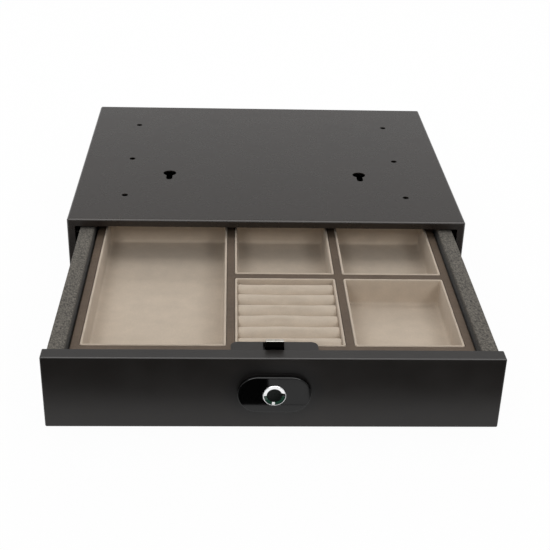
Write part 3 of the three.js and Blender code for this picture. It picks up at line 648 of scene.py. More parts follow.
class Effects:
    """Surface effects that several finishes share, each a node group made once."""

    cloud_levels: Flat = (0.3, 0.7)
    fibre_turns: tuple[Point, ...] = ((0.3, 0.2, 0.6), (-0.4, 0.5, 2.1), (0.6, -0.3, 1.2))
    fibre_levels: Flat = (0.78, 1.3)
    crease_levels: Flat = (0, 0.28)

    def __init__(self) -> None:
        """Makes the groups."""
        self.mottle = self._mottle()
        self.fibre = self._fibre()
        self.pebble = self._pebble()
        self.streak = self._streak()

    def _mottle(self) -> bpy.types.NodeTree:
        """Makes soft patches, for uneven colour and gloss.

        Returns:
            The group.
        """
        graph = EffectGraph("mottle", {"Scale": 60, "Low": 0, "High": 1, "Detail": 3}, ["Value"])
        given = graph.given
        spread = graph.node("ShaderNodeMapRange", {
            "Value": graph.cloud(graph.place, given["Detail"]).outputs["Fac"],
            "From Min": self.cloud_levels[0], "From Max": self.cloud_levels[1],
            "To Min": given["Low"], "To Max": given["High"],
        })
        return graph.close(Value=spread.outputs["Result"])

    def _fibre(self) -> bpy.types.NodeTree:
        """Makes short crossed fibres, for felt, velour and cloth.

        Returns:
            The group.
        """
        graph = EffectGraph("fibre", {"Scale": 500, "Length": 6}, ["Mask", "Height"])
        layers = []
        for turn in self.fibre_turns:
            aim = graph.node(
                "ShaderNodeMapping", {"Vector": graph.place, "Rotation": turn},
                vector_type="POINT",
            )
            layers.append(graph.strands(aim.outputs["Vector"], graph.given["Length"], 1, 1))
        both = graph.maths("ADD", graph.maths("MAXIMUM", *layers[:2]), layers[2])
        return graph.close(Mask=graph.ranged(both, self.fibre_levels), Height=both)

    def _pebble(self) -> bpy.types.NodeTree:
        """Makes small raised cells with creases between, for leather grain and moulded skin.

        Returns:
            The group.
        """
        graph = EffectGraph("pebble", {"Scale": 700, "Waver": 0.6}, ["Crease", "Height"])
        scale = graph.given["Scale"]
        reach = graph.node("ShaderNodeVectorMath", {
            0: graph.cloud(graph.place, 1).outputs["Color"],
            "Scale": graph.maths("DIVIDE", graph.given["Waver"], scale),
        }, operation="SCALE")
        moved = graph.node(
            "ShaderNodeVectorMath", {0: graph.place, 1: reach.outputs[0]}, operation="ADD"
        )
        cells = graph.node(
            "ShaderNodeTexVoronoi", {"Vector": moved.outputs[0], "Scale": scale},
            feature="DISTANCE_TO_EDGE",
        )
        height = graph.ranged(cells.outputs["Distance"], self.crease_levels, smooth=True)
        return graph.close(Height=height, Crease=graph.maths("SUBTRACT", 1.0, height))

    def _streak(self) -> bpy.types.NodeTree:
        """Makes long fine lines, for rolled and brushed metal.

        Returns:
            The group.
        """
        graph = EffectGraph("streak", {"Scale": 900, "Length": 30}, ["Value"])
        return graph.close(Value=graph.strands(graph.place, 1, graph.given["Length"], 1))


@dataclass(frozen=True)
class Patches:
    """Soft patches that shift a value between two levels.

    Attributes:
        scale: How many there are in a metre.
        low: The value's lowest level.
        high: Its highest.
        detail: How many finer layers they have.
    """

    scale: float
    low: float
    high: float
    detail: float = 2


@dataclass(frozen=True)
class Relief:
    """A raised pattern.

    Attributes:
        scale: How many bumps there are in a metre.
        depth: Their reach, in millimetres.
        strength: How much of it shows, 0 to 1.
    """

    scale: float
    depth: float
    strength: float


class Surface(Graph):
    """One material while its nodes are laid out."""

    def __init__(self, name: str, effects: Effects) -> None:
        """Starts a material with one shader.

        Args:
            name: The material's name.
            effects: The shared effects.
        """
        self.material = bpy.data.materials.new(name)
        self.material.use_nodes = True
        super().__init__(self.material.node_tree)
        self.effects = effects
        self.shader = self.tree.nodes["Principled BSDF"]

    def set(self, **values: object) -> None:
        """Gives the shader's inputs, named with _ for a space, sockets or plain values."""
        for key, value in values.items():
            self.feed(self.shader.inputs[key.replace("_", " ")], value)

    def effect(self, tree: bpy.types.NodeTree, **values: float) -> bpy.types.NodeOutputs:
        """Places a shared effect.

        Args:
            tree: The effect's group.
            **values: Its inputs.

        Returns:
            Its outputs.
        """
        return self.node("ShaderNodeGroup", values, node_tree=tree).outputs

    def level(self, kind: Patches | float) -> Socket | float:
        """Gives a value that patches shift between two levels.

        Args:
            kind: The patches, or a number where the value is the same all over.

        Returns:
            The value's socket, or the number.
        """
        if not isinstance(kind, Patches):
            return kind
        return self.effect(
            self.effects.mottle, Scale=kind.scale, Low=kind.low, High=kind.high,
            Detail=kind.detail,
        )["Value"]

    def shades(self, colour: Colour, kind: Patches) -> Socket:
        """Gives a colour that patches make darker and lighter.

        Args:
            colour: The colour.
            kind: The patches, whose levels are shares of the colour.

        Returns:
            The colour's socket.
        """
        mask = self.effect(self.effects.mottle, Scale=kind.scale, Detail=kind.detail)["Value"]
        return self.blend(mask, toned(colour, kind.low), toned(colour, kind.high))

    def blend(self, mask: Socket, *colours: object) -> Socket:
        """Mixes two colours by a mask.

        Args:
            mask: 0 for the first colour and 1 for the second.
            *colours: Two colours or sockets.

        Returns:
            The mixed colour's socket.
        """
        mix = self.node("ShaderNodeMix", {"Factor": mask}, data_type="RGBA")
        for number, value in zip((6, 7), colours):
            self.feed(mix.inputs[number], value if isinstance(value, Socket) else linear(value))
        return mix.outputs[2]

    def part_blend(self, mask: Socket, share: float, *colours: object) -> Socket:
        """Mixes two colours by a share of a mask."""
        return self.blend(self.maths("MULTIPLY", mask, share), *colours)

    def raised(self, height: Socket, kind: Relief) -> None:
        """Raises the surface.

        Args:
            height: The pattern, 0 to 1.
            kind: Its depth and strength.
        """
        bump = self.node("ShaderNodeBump", {
            "Strength": kind.strength, "Distance": kind.depth * MM, "Height": height,
        })
        self.set(Normal=bump.outputs["Normal"])

    def offset(self, centre: Vector) -> tuple[Socket, ...]:
        """Gives the three distances of the surface from a point.

        Args:
            centre: The point, in millimetres.

        Returns:
            The sockets of the distances along x, y and z, in metres.
        """
        place = self.node("ShaderNodeTexCoord").outputs["Object"]
        split = self.node("ShaderNodeSeparateXYZ", {"Vector": place})
        return tuple(
            self.maths("SUBTRACT", socket, middle * MM)
            for socket, middle in zip(split.outputs, centre)
        )

    def span(self, *sides: Socket) -> Socket:
        """Gives the length of the long side of a right angled triangle."""
        squares = [self.maths("MULTIPLY", side, side) for side in sides]
        return self.maths("SQRT", self.maths("ADD", *squares))

    def edge(self, value: Socket, start: float, end: float) -> Socket:
        """Turns a distance into a mask that rises smoothly between two, in millimetres."""
        return self.ranged(value, (start * MM, end * MM), smooth=True)


# Finishes


@dataclass(frozen=True)
class Finish:
    """What every finish has.

    Attributes:
        slot: The record's material slot.
        colour: Its colour as seen, 0 to 255.
        shade: Its darker and lighter patches, as shares of the colour.
        rough: Its glossier and duller patches, or one roughness all over.
        shine: How much of a mirror it is, where 0.5 is usual.
    """

    slot: str
    colour: Colour
    shade: Patches = Patches(30, 1, 1.3)
    rough: Patches | float = 0.5
    shine: float = 0.5

    @property
    def name(self) -> str:
        """The material's name."""
        return self.slot

    def material(self, effects: Effects) -> bpy.types.Material:
        """Makes the finish's material.

        Args:
            effects: The shared effects.

        Returns:
            The material.
        """
        surface = Surface(self.name, effects)
        surface.set(Specular_IOR_Level=self.shine, Roughness=surface.level(self.rough))
        self.lay_out(surface)
        return surface.material

    def lay_out(self, surface: Surface) -> None:
        """Gives the material its colour and relief, here a patched colour alone."""
        surface.set(Base_Color=surface.shades(self.colour, self.shade))


@dataclass(frozen=True)
class PowderCoat(Finish):
    """Satin powder paint.

    Attributes:
        peel: Its faint orange peel.
    """

    shade: Patches = Patches(9, 0.96, 1.05)
    rough: Patches | float = Patches(45, 0.25, 0.31, 1)
    shine: float = 0.42
    peel: Relief = Relief(1100, 0.003, 0.15)

    def lay_out(self, surface: Surface) -> None:
        """Gives the material its colour and its orange peel.

        Args:
            surface: The material.
        """
        surface.set(Base_Color=self.handled(surface, surface.shades(self.colour, self.shade)))
        bumps = surface.effect(surface.effects.mottle, Scale=self.peel.scale, Detail=2)
        surface.raised(bumps["Value"], self.peel)

    def handled(self, surface: Surface, colour: Socket) -> Socket:
        """Gives the paint's colour with its painted shade, here none."""
        return colour


@dataclass(frozen=True)
class HandledPaint(PowderCoat):
    """The paint of the drawer front, with a painted shade round the fascia that stands in for
    the shadow there.

    Attributes:
        near: How far from the fascia the painted shade is darkest, in millimetres.
        far: How far the painted shade reaches.
        tone: The painted shade's darkest tone, as a share of the colour.
    """

    near: float = 2
    far: float = 16
    tone: float = 0.6

    @property
    def name(self) -> str:
        """The material's name."""
        return "panel_paint"

    def handled(self, surface: Surface, colour: Socket) -> Socket:
        """Gives the paint's colour with painted shade darkening it towards the fascia.

        Args:
            surface: The material.
            colour: The paint's own colour.

        Returns:
            The colour's socket.
        """
        low, high = box_of("fascia")
        half = (high.z - low.z) / 2
        across, _, up = surface.offset((low + high) / 2)
        straight = ((high.x - low.x) / 2 - half) * MM
        apart = surface.maths("SUBTRACT", surface.maths("ABSOLUTE", across), straight)
        reach = surface.span(surface.maths("MAXIMUM", apart, 0.0), up)
        # Painted shade: the paint darkens towards the fascia, standing in for the shadow round
        # it.
        mask = surface.edge(reach, half + self.near, half + self.far)
        return surface.blend(mask, toned(self.colour, self.tone), colour)


@dataclass(frozen=True)
class RolledMetal(Finish):
    """Bare or plated metal.

    Attributes:
        lines: The lines that rolling or brushing leaves.
    """

    shade: Patches = Patches(60, 0.96, 1.03)
    rough: Patches | float = Patches(120, 0.3, 0.38)
    lines: Relief = Relief(900, 0.0015, 0.4)

    def lay_out(self, surface: Surface) -> None:
        """Gives the material its colour and its lines.

        Args:
            surface: The material.
        """
        surface.set(Metallic=1.0, Base_Color=self.tint(surface))
        streaks = surface.effect(surface.effects.streak, Scale=self.lines.scale)
        surface.raised(streaks["Value"], self.lines)

    def tint(self, surface: Surface) -> Socket:
        """Gives the metal's colour."""
        return surface.shades(self.colour, self.shade)


@dataclass(frozen=True)
class WornSteel(RolledMetal):
    """Blackened steel with a painted highlight: faces that point up get a bright colour for the
    bright surroundings they would mirror.

    Attributes:
        bright: Colour of the painted highlight.
        worn: How far up a face points where the painted highlight starts and where it is full, 0
            to 1.
        rubbing: How evenly the painted highlight lies.
    """

    rough: Patches | float = Patches(300, 0.14, 0.26, 4)
    lines: Relief = Relief(1400, 0.002, 0.4)
    bright: Colour = (222, 217, 208)
    worn: Flat = (0.45, 0.68)
    rubbing: Patches = Patches(500, 0.72, 1.0, 5)

    @property
    def name(self) -> str:
        """The material's name."""
        return "latch_steel"

    def tint(self, surface: Surface) -> Socket:
        """Gives the black colour with its painted highlight on faces that point up.

        Args:
            surface: The material.

        Returns:
            The colour's socket.
        """
        facing = surface.node("ShaderNodeTexCoord").outputs["Normal"]
        up = surface.node("ShaderNodeSeparateXYZ", {"Vector": facing}).outputs["Z"]
        # Painted highlight: faces that point up are coloured bright, as though they mirrored the
        # bright surroundings.
        highlight_mask = surface.maths(
            "MULTIPLY", surface.ranged(up, self.worn), surface.level(self.rubbing)
        )
        return surface.blend(highlight_mask, self.colour, self.bright)


@dataclass(frozen=True)
class GuidedChrome(Finish):
    """Bright chrome with painted reflections: the lower half of the ring's funnel painted dark
    and greenish, and a painted white glint at its foot.

    Attributes:
        guide: Colour of the painted dark reflection in the lower half.
        lens: Colour of the painted white glint at the dark reflection's foot.
        guide_radius: The painted dark reflection's outer radius, in millimetres.
        guide_edge: How softly it ends there.
        guide_top: Where it starts and is full below the ring's middle.
        lens_place: The painted glint's middle along x, from the ring's centre.
        lens_half: Half the painted glint's width.
        lens_edge: How softly it ends.
    """

    rough: Patches | float = Patches(700, 0.03, 0.07, 4)
    guide: Colour = (34, 62, 50)
    lens: Colour = (250, 250, 250)
    guide_radius: float = 9.0
    guide_edge: float = 0.15
    guide_top: Flat = (0.1, -0.3)
    lens_place: float = -0.7
    lens_half: float = 1.2
    lens_edge: float = 0.1

    def lay_out(self, surface: Surface) -> None:
        """Gives the material its chrome and its painted reflections.

        Args:
            surface: The material.
        """
        low, high = box_of("sensor_ring")
        across, _, up = surface.offset((low + high) / 2)
        # Painted reflection: the lower half of the funnel is coloured dark and greenish, for the
        # dark ground that it mirrors.
        inside = surface.edge(
            surface.span(across, up), self.guide_radius, self.guide_radius - self.guide_edge
        )
        dark_reflected = surface.maths("MULTIPLY", inside, surface.edge(up, *self.guide_top))
        apart = surface.maths(
            "ABSOLUTE", surface.maths("SUBTRACT", across, self.lens_place * MM)
        )
        # Painted highlight: the lens value is a white glint at the foot of the dark half, not a
        # lamp.
        lens = surface.maths("MULTIPLY", dark_reflected, surface.edge(
            apart, self.lens_half + self.lens_edge, self.lens_half - self.lens_edge
        ))
        colour = surface.blend(dark_reflected, self.colour, self.guide)
        surface.set(
            Base_Color=surface.blend(lens, colour, self.lens),
            Metallic=surface.maths("SUBTRACT", 1.0, dark_reflected),
        )


@dataclass(frozen=True)
class Gloss(Finish):
    """A hard, clear-topped surface: glass or lacquered plastic."""

    rough: Patches | float = Patches(350, 0.06, 0.09, 5)


@dataclass(frozen=True)
class MouldedPlastic(Finish):
    """Moulded plastic.

    Attributes:
        skin: Its fine spark-eroded skin.
        waver: How uneven the skin's cells are.
    """

    shade: Patches = Patches(25, 0.94, 1.06, 3)
    rough: Patches | float = Patches(90, 0.38, 0.48, 3)
    shine: float = 0.38
    skin: Relief = Relief(1600, 0.02, 0.25)
    waver: float = 0.8

    def lay_out(self, surface: Surface) -> None:
        """Gives the material its colour and its skin.

        Args:
            surface: The material.
        """
        surface.set(Base_Color=surface.shades(self.colour, self.shade))
        cells = surface.effect(
            surface.effects.pebble, Scale=self.skin.scale, Waver=self.waver
        )
        surface.raised(cells["Height"], self.skin)


@dataclass(frozen=True)
class Felt(Finish):
    """Pressed felt of light and dark fibres, with painted shade down the sides of the rails.

    Attributes:
        dark: Colour of the gaps between the fibres, and of the painted shade down the sides.
        light: Colour of the light fibres.
        dark_share: How much of the gaps' colour shows.
        light_share: How much of the light fibres' colour shows.
        fine: Scale and length of the small fibres.
        coarse: The large fibres.
        coarse_length: Their length.
        foot: Heights at which the painted shade on the sides starts and is darkest, in
            millimetres.
        foot_share: How dark the painted shade gets.
        sheen: Weight and roughness of its sheen.
    """

    shade: Patches = Patches(55, 0.9, 1.1, 4)
    rough: Patches | float = 0.95
    shine: float = 0.2
    dark: Colour = (30, 28, 25)
    light: Colour = (132, 126, 116)
    dark_share: float = 0.7
    light_share: float = 0.65
    fine: Flat = (1700, 5)
    coarse: Relief = Relief(720, 0.35, 0.6)
    coarse_length: float = 3
    foot: Flat = (76.6, 72)
    foot_share: float = 0.7
    sheen: Flat = (0.06, 0.6)

    def lay_out(self, surface: Surface) -> None:
        """Gives the material its fibres and its painted shade.

        Args:
            surface: The material.
        """
        surface.set(Sheen_Weight=self.sheen[0], Sheen_Roughness=self.sheen[1])
        fibre = surface.effects.fibre
        coarse = surface.effect(fibre, Scale=self.coarse.scale, Length=self.coarse_length)
        fine = surface.effect(fibre, Scale=self.fine[0], Length=self.fine[1])
        base = surface.shades(self.colour, self.shade)
        darker = surface.part_blend(fine["Mask"], self.dark_share, base, self.dark)
        threads = surface.part_blend(coarse["Mask"], self.light_share, darker, self.light)
        # Painted shade: the felt darkens down the rails' sides, where shadow falls.
        foot = surface.edge(surface.offset(Vector())[2], *self.foot)
        surface.set(Base_Color=surface.part_blend(foot, self.foot_share, threads, self.dark))
        surface.raised(coarse["Height"], self.coarse)


@dataclass(frozen=True)
class Velour(Finish):
    """Short-napped velour, lighter and darker where the nap lies.

    Attributes:
        gap: Shade of the gaps in the pile, as a share of the colour.
        gap_share: How much of the gaps shows.
        pile: The pile.
        pile_length: Its length.
        sheen: Weight and roughness of its sheen.
    """

    shade: Patches = Patches(70, 0.97, 1.02, 5)
    rough: Patches | float = 0.92
    shine: float = 0.15
    gap: float = 0.84
    gap_share: float = 0.35
    pile: Relief = Relief(1500, 0.12, 0.45)
    pile_length: float = 3
    sheen: Flat = (0.12, 0.5)

    def lay_out(self, surface: Surface) -> None:
        """Gives the material its nap and pile.

        Args:
            surface: The material.
        """
        surface.set(Sheen_Weight=self.sheen[0], Sheen_Roughness=self.sheen[1])
        pile = surface.effect(
            surface.effects.fibre, Scale=self.pile.scale, Length=self.pile_length
        )
        surface.set(Base_Color=surface.part_blend(
            pile["Mask"], self.gap_share, surface.shades(self.colour, self.shade),
            toned(self.colour, self.gap),
        ))
        surface.raised(pile["Height"], self.pile)


@dataclass(frozen=True)
class LeatherCloth(Finish):
    """Coated cloth with a leather grain.

    Attributes:
        crease: Shade of the grain's creases, as a share of the colour.
        crease_share: How much of the creases shows.
        grain: The grain.
        waver: How uneven its cells are.
    """

    shade: Patches = Patches(40, 0.93, 1.06, 4)
    rough: Patches | float = Patches(240, 0.52, 0.7, 3)
    shine: float = 0.25
    crease: float = 0.72
    crease_share: float = 0.4
    grain: Relief = Relief(1150, 0.09, 0.5)
    waver: float = 0.7

    def lay_out(self, surface: Surface) -> None:
        """Gives the material its grain.

        Args:
            surface: The material.
        """
        grain = surface.effect(
            surface.effects.pebble, Scale=self.grain.scale, Waver=self.waver
        )
        surface.set(Base_Color=surface.part_blend(
            grain["Crease"], self.crease_share, surface.shades(self.colour, self.shade),
            toned(self.colour, self.crease),
        ))
        surface.raised(grain["Height"], self.grain)


FINISHES: tuple[Finish, ...] = (
    PowderCoat("case_paint", (32, 27, 23)),
    # The drawer front's paint, with a painted shade halo round the fascia.
    HandledPaint("case_paint", (26, 23, 21), rough=Patches(45, 0.34, 0.4, 1)),
    RolledMetal("zinc_steel", (176, 179, 182)),
    RolledMetal("polished_steel", (205, 206, 208), rough=Patches(120, 0.1, 0.18),
                lines=Relief(1500, 0.001, 0.4)),
    # The sensor ring's chrome, with painted reflections on its funnel.
    GuidedChrome("ring_chrome", (244, 244, 245)),
    Gloss("gloss_black", (3, 3, 3), shine=0.4),
    # The latch bolt's steel, with a painted highlight on its top.
    WornSteel("polished_steel", (30, 28, 26)),
    Gloss("sensor_face", (13, 16, 14), rough=Patches(350, 0.25, 0.31, 5), shine=0.12),
    MouldedPlastic("lock_plastic", (21, 17, 14)),
    Felt("grey_felt", (52, 49, 45)),
    LeatherCloth("leather_cloth", (85, 71, 58)),
    Velour("velour", (196, 181, 164)),
    MouldedPlastic("board", (31, 74, 48), rough=Patches(90, 0.3, 0.45, 3),
                   skin=Relief(900, 0.02, 0.25)),
    Gloss("battery_wrap", (43, 92, 138), rough=Patches(350, 0.28, 0.38, 5)),
)


class Wardrobe:
    """Every finish's material, and the dressing of pieces with them."""

    def __init__(self, effects: Effects) -> None:
        """Makes the materials.

        Args:
            effects: The shared effects.
        """
        self.finishes = {finish.name: finish for finish in FINISHES}
        self.materials = {finish.name: finish.material(effects) for finish in FINISHES}

    def dress(self, piece: Piece, look: str, *nodes: str, body: str = "") -> Piece:
        """Gives a new piece its finish, its body and the nodes that it stands for.

        Args:
            piece: The piece.
            look: The name of its finish.
            *nodes: The frame nodes that it replaces.
            body: The body that it rides on, if it replaces none.

        Returns:
            The same piece.
        """
        piece.data.materials.clear()
        piece.data.materials.append(self.materials[look])
        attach(piece, body or frame["nodes"][nodes[0]]["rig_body"])
        if nodes:
            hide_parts(*nodes)
        log.info("%s: %d faces, %s", piece.name, len(piece.data.polygons), look)
        return piece

    def dress_eased(self, rows: Iterable[tuple[str, str, str, float, int]]) -> None:
        """Makes and dresses pieces that keep their nodes' shapes.

        Args:
            rows: Each piece's node, name, finish, rounding in millimetres and its facets.
        """
        for node, name, look, width, steps in rows:
            self.dress(eased(node, name, width, steps), look, node)


@dataclass
class Casing:
    """The case: cover with its holes, floor, back, strike and brackets."""

    sheet: float = 1.2
    bend: float = 2.5
    lip: float = 8
    screw_radius: float = 3.2
    screw_inset: float = 53.6
    screw_shares: tuple[float, ...] = (0.182, 0.485, 0.809)
    hole_steps: int = 32
    keyhole_inset: float = 98
    keyhole_radius: float = 7
    slot_radius: float = 3.3
    slot_steps: int = 14
    keyhole_run: float = 14.2
    keyhole_share: float = 0.3636
    overrun: float = 4
    rim: float = 0.25

    def cover(self) -> Piece:
        """Makes the cover: top, sides and the lip round the mouth.

        Returns:
            The cover.
        """
        low, high = box_of("case_shell")
        inner = high.x - self.lip
        mouth = high.z - self.lip
        corners = [
            (-high.x, low.y, 0), (-inner, low.y, 0), (-inner, low.y, mouth),
            (inner, low.y, mouth), (inner, low.y, 0), (high.x, low.y, 0),
            (high.x, low.y, high.z), (-high.x, low.y, high.z),
            (high.x, high.y, 0), (high.x, high.y, high.z),
            (-high.x, high.y, high.z), (-high.x, high.y, 0),
        ]
        faces = [(0, 1, 2, 3, 4, 5, 6, 7), (5, 8, 9, 6), (7, 6, 9, 10), (11, 0, 7, 10)]
        cover = folded("case_cover", corners, faces, self.bend, self.sheet)
        return softened(cut(cover, self.hole_cutters(low, high)), self.rim)

    def hole_cutters(self, low: Vector, high: Vector) -> list[Piece]:
        """Makes the shapes of the holes in the top.

        Args:
            low: The case's lowest corner.
            high: Its highest corner.

        Returns:
            A cutter for each screw hole and keyhole.
        """
        depth = high.y - low.y
        bottom, top = high.z - self.overrun, high.z + self.overrun
        ends = [(0, bottom), (self.screw_radius, bottom), (self.screw_radius, top), (0, top)]
        cutters = []
        for hand in Hand:
            x = hand.value * (high.x - self.screw_inset)
            for share in self.screw_shares:
                place = (x, low.y + depth * share)
                cutters.append(revolved("hole", ends, Axis.Z, place, self.hole_steps))
            x = hand.value * (high.x - self.keyhole_inset)
            outline = self.keyhole_outline(x, low.y + depth * self.keyhole_share)
            cutters.append(prism("keyhole", outline, Axis.Z, bottom, top))
        return cutters

    def keyhole_outline(self, x: float, y: float) -> list[Flat]:
        """Gives a keyhole's outline: a round head and a slot towards the front.

        Args:
            x: The head's centre.
            y: The head's centre.

        Returns:
            The outline's points.
        """
        half = math.degrees(math.asin(self.slot_radius / self.keyhole_radius))
        head = arc((x, y), self.keyhole_radius, half - 90, 270 - half, self.hole_steps)
        return head + arc((x, y - self.keyhole_run), self.slot_radius, 180, 360, self.slot_steps)

    def build(self, wardrobe: Wardrobe) -> None:
        """Makes and dresses every piece of the case.

        Args:
            wardrobe: Dresses the pieces.
        """
        wardrobe.dress(self.cover(), "case_paint", "case_shell")
        wardrobe.dress_eased([
            ("case_floor", "case_base_plate", "case_paint", 0.3, 2),
            ("case_back", "case_rear_plate", "case_paint", 0.5, 2),
            ("strike_plate", "strike_angle", "zinc_steel", 0.3, 2),
            ("slide_bracket_right", "bracket_right", "case_paint", 0.5, 3),
            ("slide_bracket_left", "bracket_left", "case_paint", 0.5, 3),
        ])


@dataclass
class FrontPanel:
    """The drawer's front: a folded pan with the lock's fascia on it."""

    sheet: float = 1.5
    bend: float = 1.4
    rim: float = 0.3
    rim_steps: int = 3
    bore_gap: float = 0.4
    fascia_edge: float = 0.8
    fascia_steps: int = 5
    fascia_end_steps: int = 20
    fascia_rim: float = 0.1
    fascia_crease: float = 50
    flat_end: float = 0.001
    ring_hole: float = 6.5
    ring_edge: float = 0.45
    ring_lip: float = 0.15
    ring_funnel: float = 245
    ring_edge_steps: int = 8
    ring_steps: int = 128
    ring_crease: float = 30
    sensor_dish: float = 0.5
    sensor_rim: Flat = (0.1, 0.05)
    sensor_side: float = 0.3
    sensor_crease: float = 40
    sensor_shares: tuple[float, ...] = (0, 0.2, 0.4, 0.6, 0.8, 0.93)

    def centre(self) -> Flat:
        """Gives the place of the sensor's middle across and up."""
        low, high = box_of("fingerprint_sensor")
        return (low.x + high.x) / 2, (low.z + high.z) / 2

    def bore(self, start: float, end: float) -> Piece:
        """Makes the shape of the sensor's hole.

        Args:
            start: Where it starts along y.
            end: Where it ends.

        Returns:
            The shape.
        """
        low, high = box_of("fingerprint_sensor")
        radius = (high.x - low.x) / 2 + self.bore_gap
        profile = [(0, start), (radius, start), (radius, end), (0, end)]
        return revolved("bore", profile, Axis.Y, self.centre())

    def pan(self) -> Piece:
        """Makes the folded pan.

        Returns:
            The pan.
        """
        low, high = box_of("front_panel")
        corners = [
            (x, y, z) for y in (low.y, high.y)
            for x, z in ((low.x, low.z), (high.x, low.z), (high.x, high.z), (low.x, high.z))
        ]
        faces = [(0, 1, 2, 3), (1, 5, 6, 2), (3, 2, 6, 7), (4, 0, 3, 7), (0, 4, 5, 1)]
        pan = folded("drawer_front", corners, faces, self.bend, self.sheet)
        cut(pan, [self.bore(low.y - self.sheet, low.y + 2 * self.sheet)])
        return softened(pan, self.rim, self.rim_steps)

    def fascia(self) -> Piece:
        """Makes the fascia: a bar with round ends and an eased front edge.

        Returns:
            The fascia.
        """
        low, high = box_of("fascia")
        edge = self.fascia_edge
        rings = []
        for inset, y in [
            (0, high.y), *arc((edge, low.y + edge), edge, 180, 270, self.fascia_steps)
        ]:
            radius = (high.z - low.z) / 2 - inset - self.flat_end
            outline = rounded_outline(low.xz, high.xz, inset, radius, self.fascia_end_steps)
            rings.append([(u, y, v) for u, v in outline])
        bar = cut(lofted("lock_fascia", rings), [self.bore(low.y - edge, high.y + edge)])
        return softened(bar, self.fascia_rim, degrees=self.fascia_crease)

    def ring(self) -> Piece:
        """Makes the ring: a funnel that leads the finger in, and a round rim.

        Returns:
            The ring.
        """
        low, high = box_of("sensor_ring")
        outer, rim = (high.x - low.x) / 2, self.ring_edge
        profile = [(self.ring_hole, high.y), (self.ring_hole, high.y - self.ring_lip)]
        profile += arc(
            (outer - rim, low.y + rim), rim, self.ring_funnel, 360, self.ring_edge_steps
        )
        profile.append((outer, high.y))
        x, z = self.centre()
        rings = [
            [(x + radius * u, y, z + radius * v) for radius, y in profile]
            for u, v in arc((0, 0), 1, 0, 360, self.ring_steps)[:-1]
        ]
        return shaded(lofted("sensor_bezel", rings, wrapped=True), self.ring_crease)

    def sensor(self) -> Piece:
        """Makes the sensor: a dished disc with a rounded rim.

        Returns:
            The sensor.
        """
        low, high = box_of("fingerprint_sensor")
        radius = (high.x - low.x) / 2
        profile = [
            (radius * share, low.y + self.sensor_dish * (1 - share * share))
            for share in self.sensor_shares
        ]
        inset, drop = self.sensor_rim
        profile += [(radius - inset, low.y + drop), (radius, low.y + self.sensor_side)]
        profile += [(radius, high.y), (0, high.y)]
        disc = revolved("fingertip_disc", profile, Axis.Y, self.centre())
        return shaded(disc, self.sensor_crease)

    def build(self, wardrobe: Wardrobe) -> None:
        """Makes and dresses the front's pieces.

        Args:
            wardrobe: Dresses the pieces.
        """
        wardrobe.dress(self.pan(), "panel_paint", "front_panel")
        wardrobe.dress(self.fascia(), "gloss_black", "fascia")
        wardrobe.dress(self.ring(), "ring_chrome", "sensor_ring")
        wardrobe.dress(self.sensor(), "sensor_face", "fingerprint_sensor")


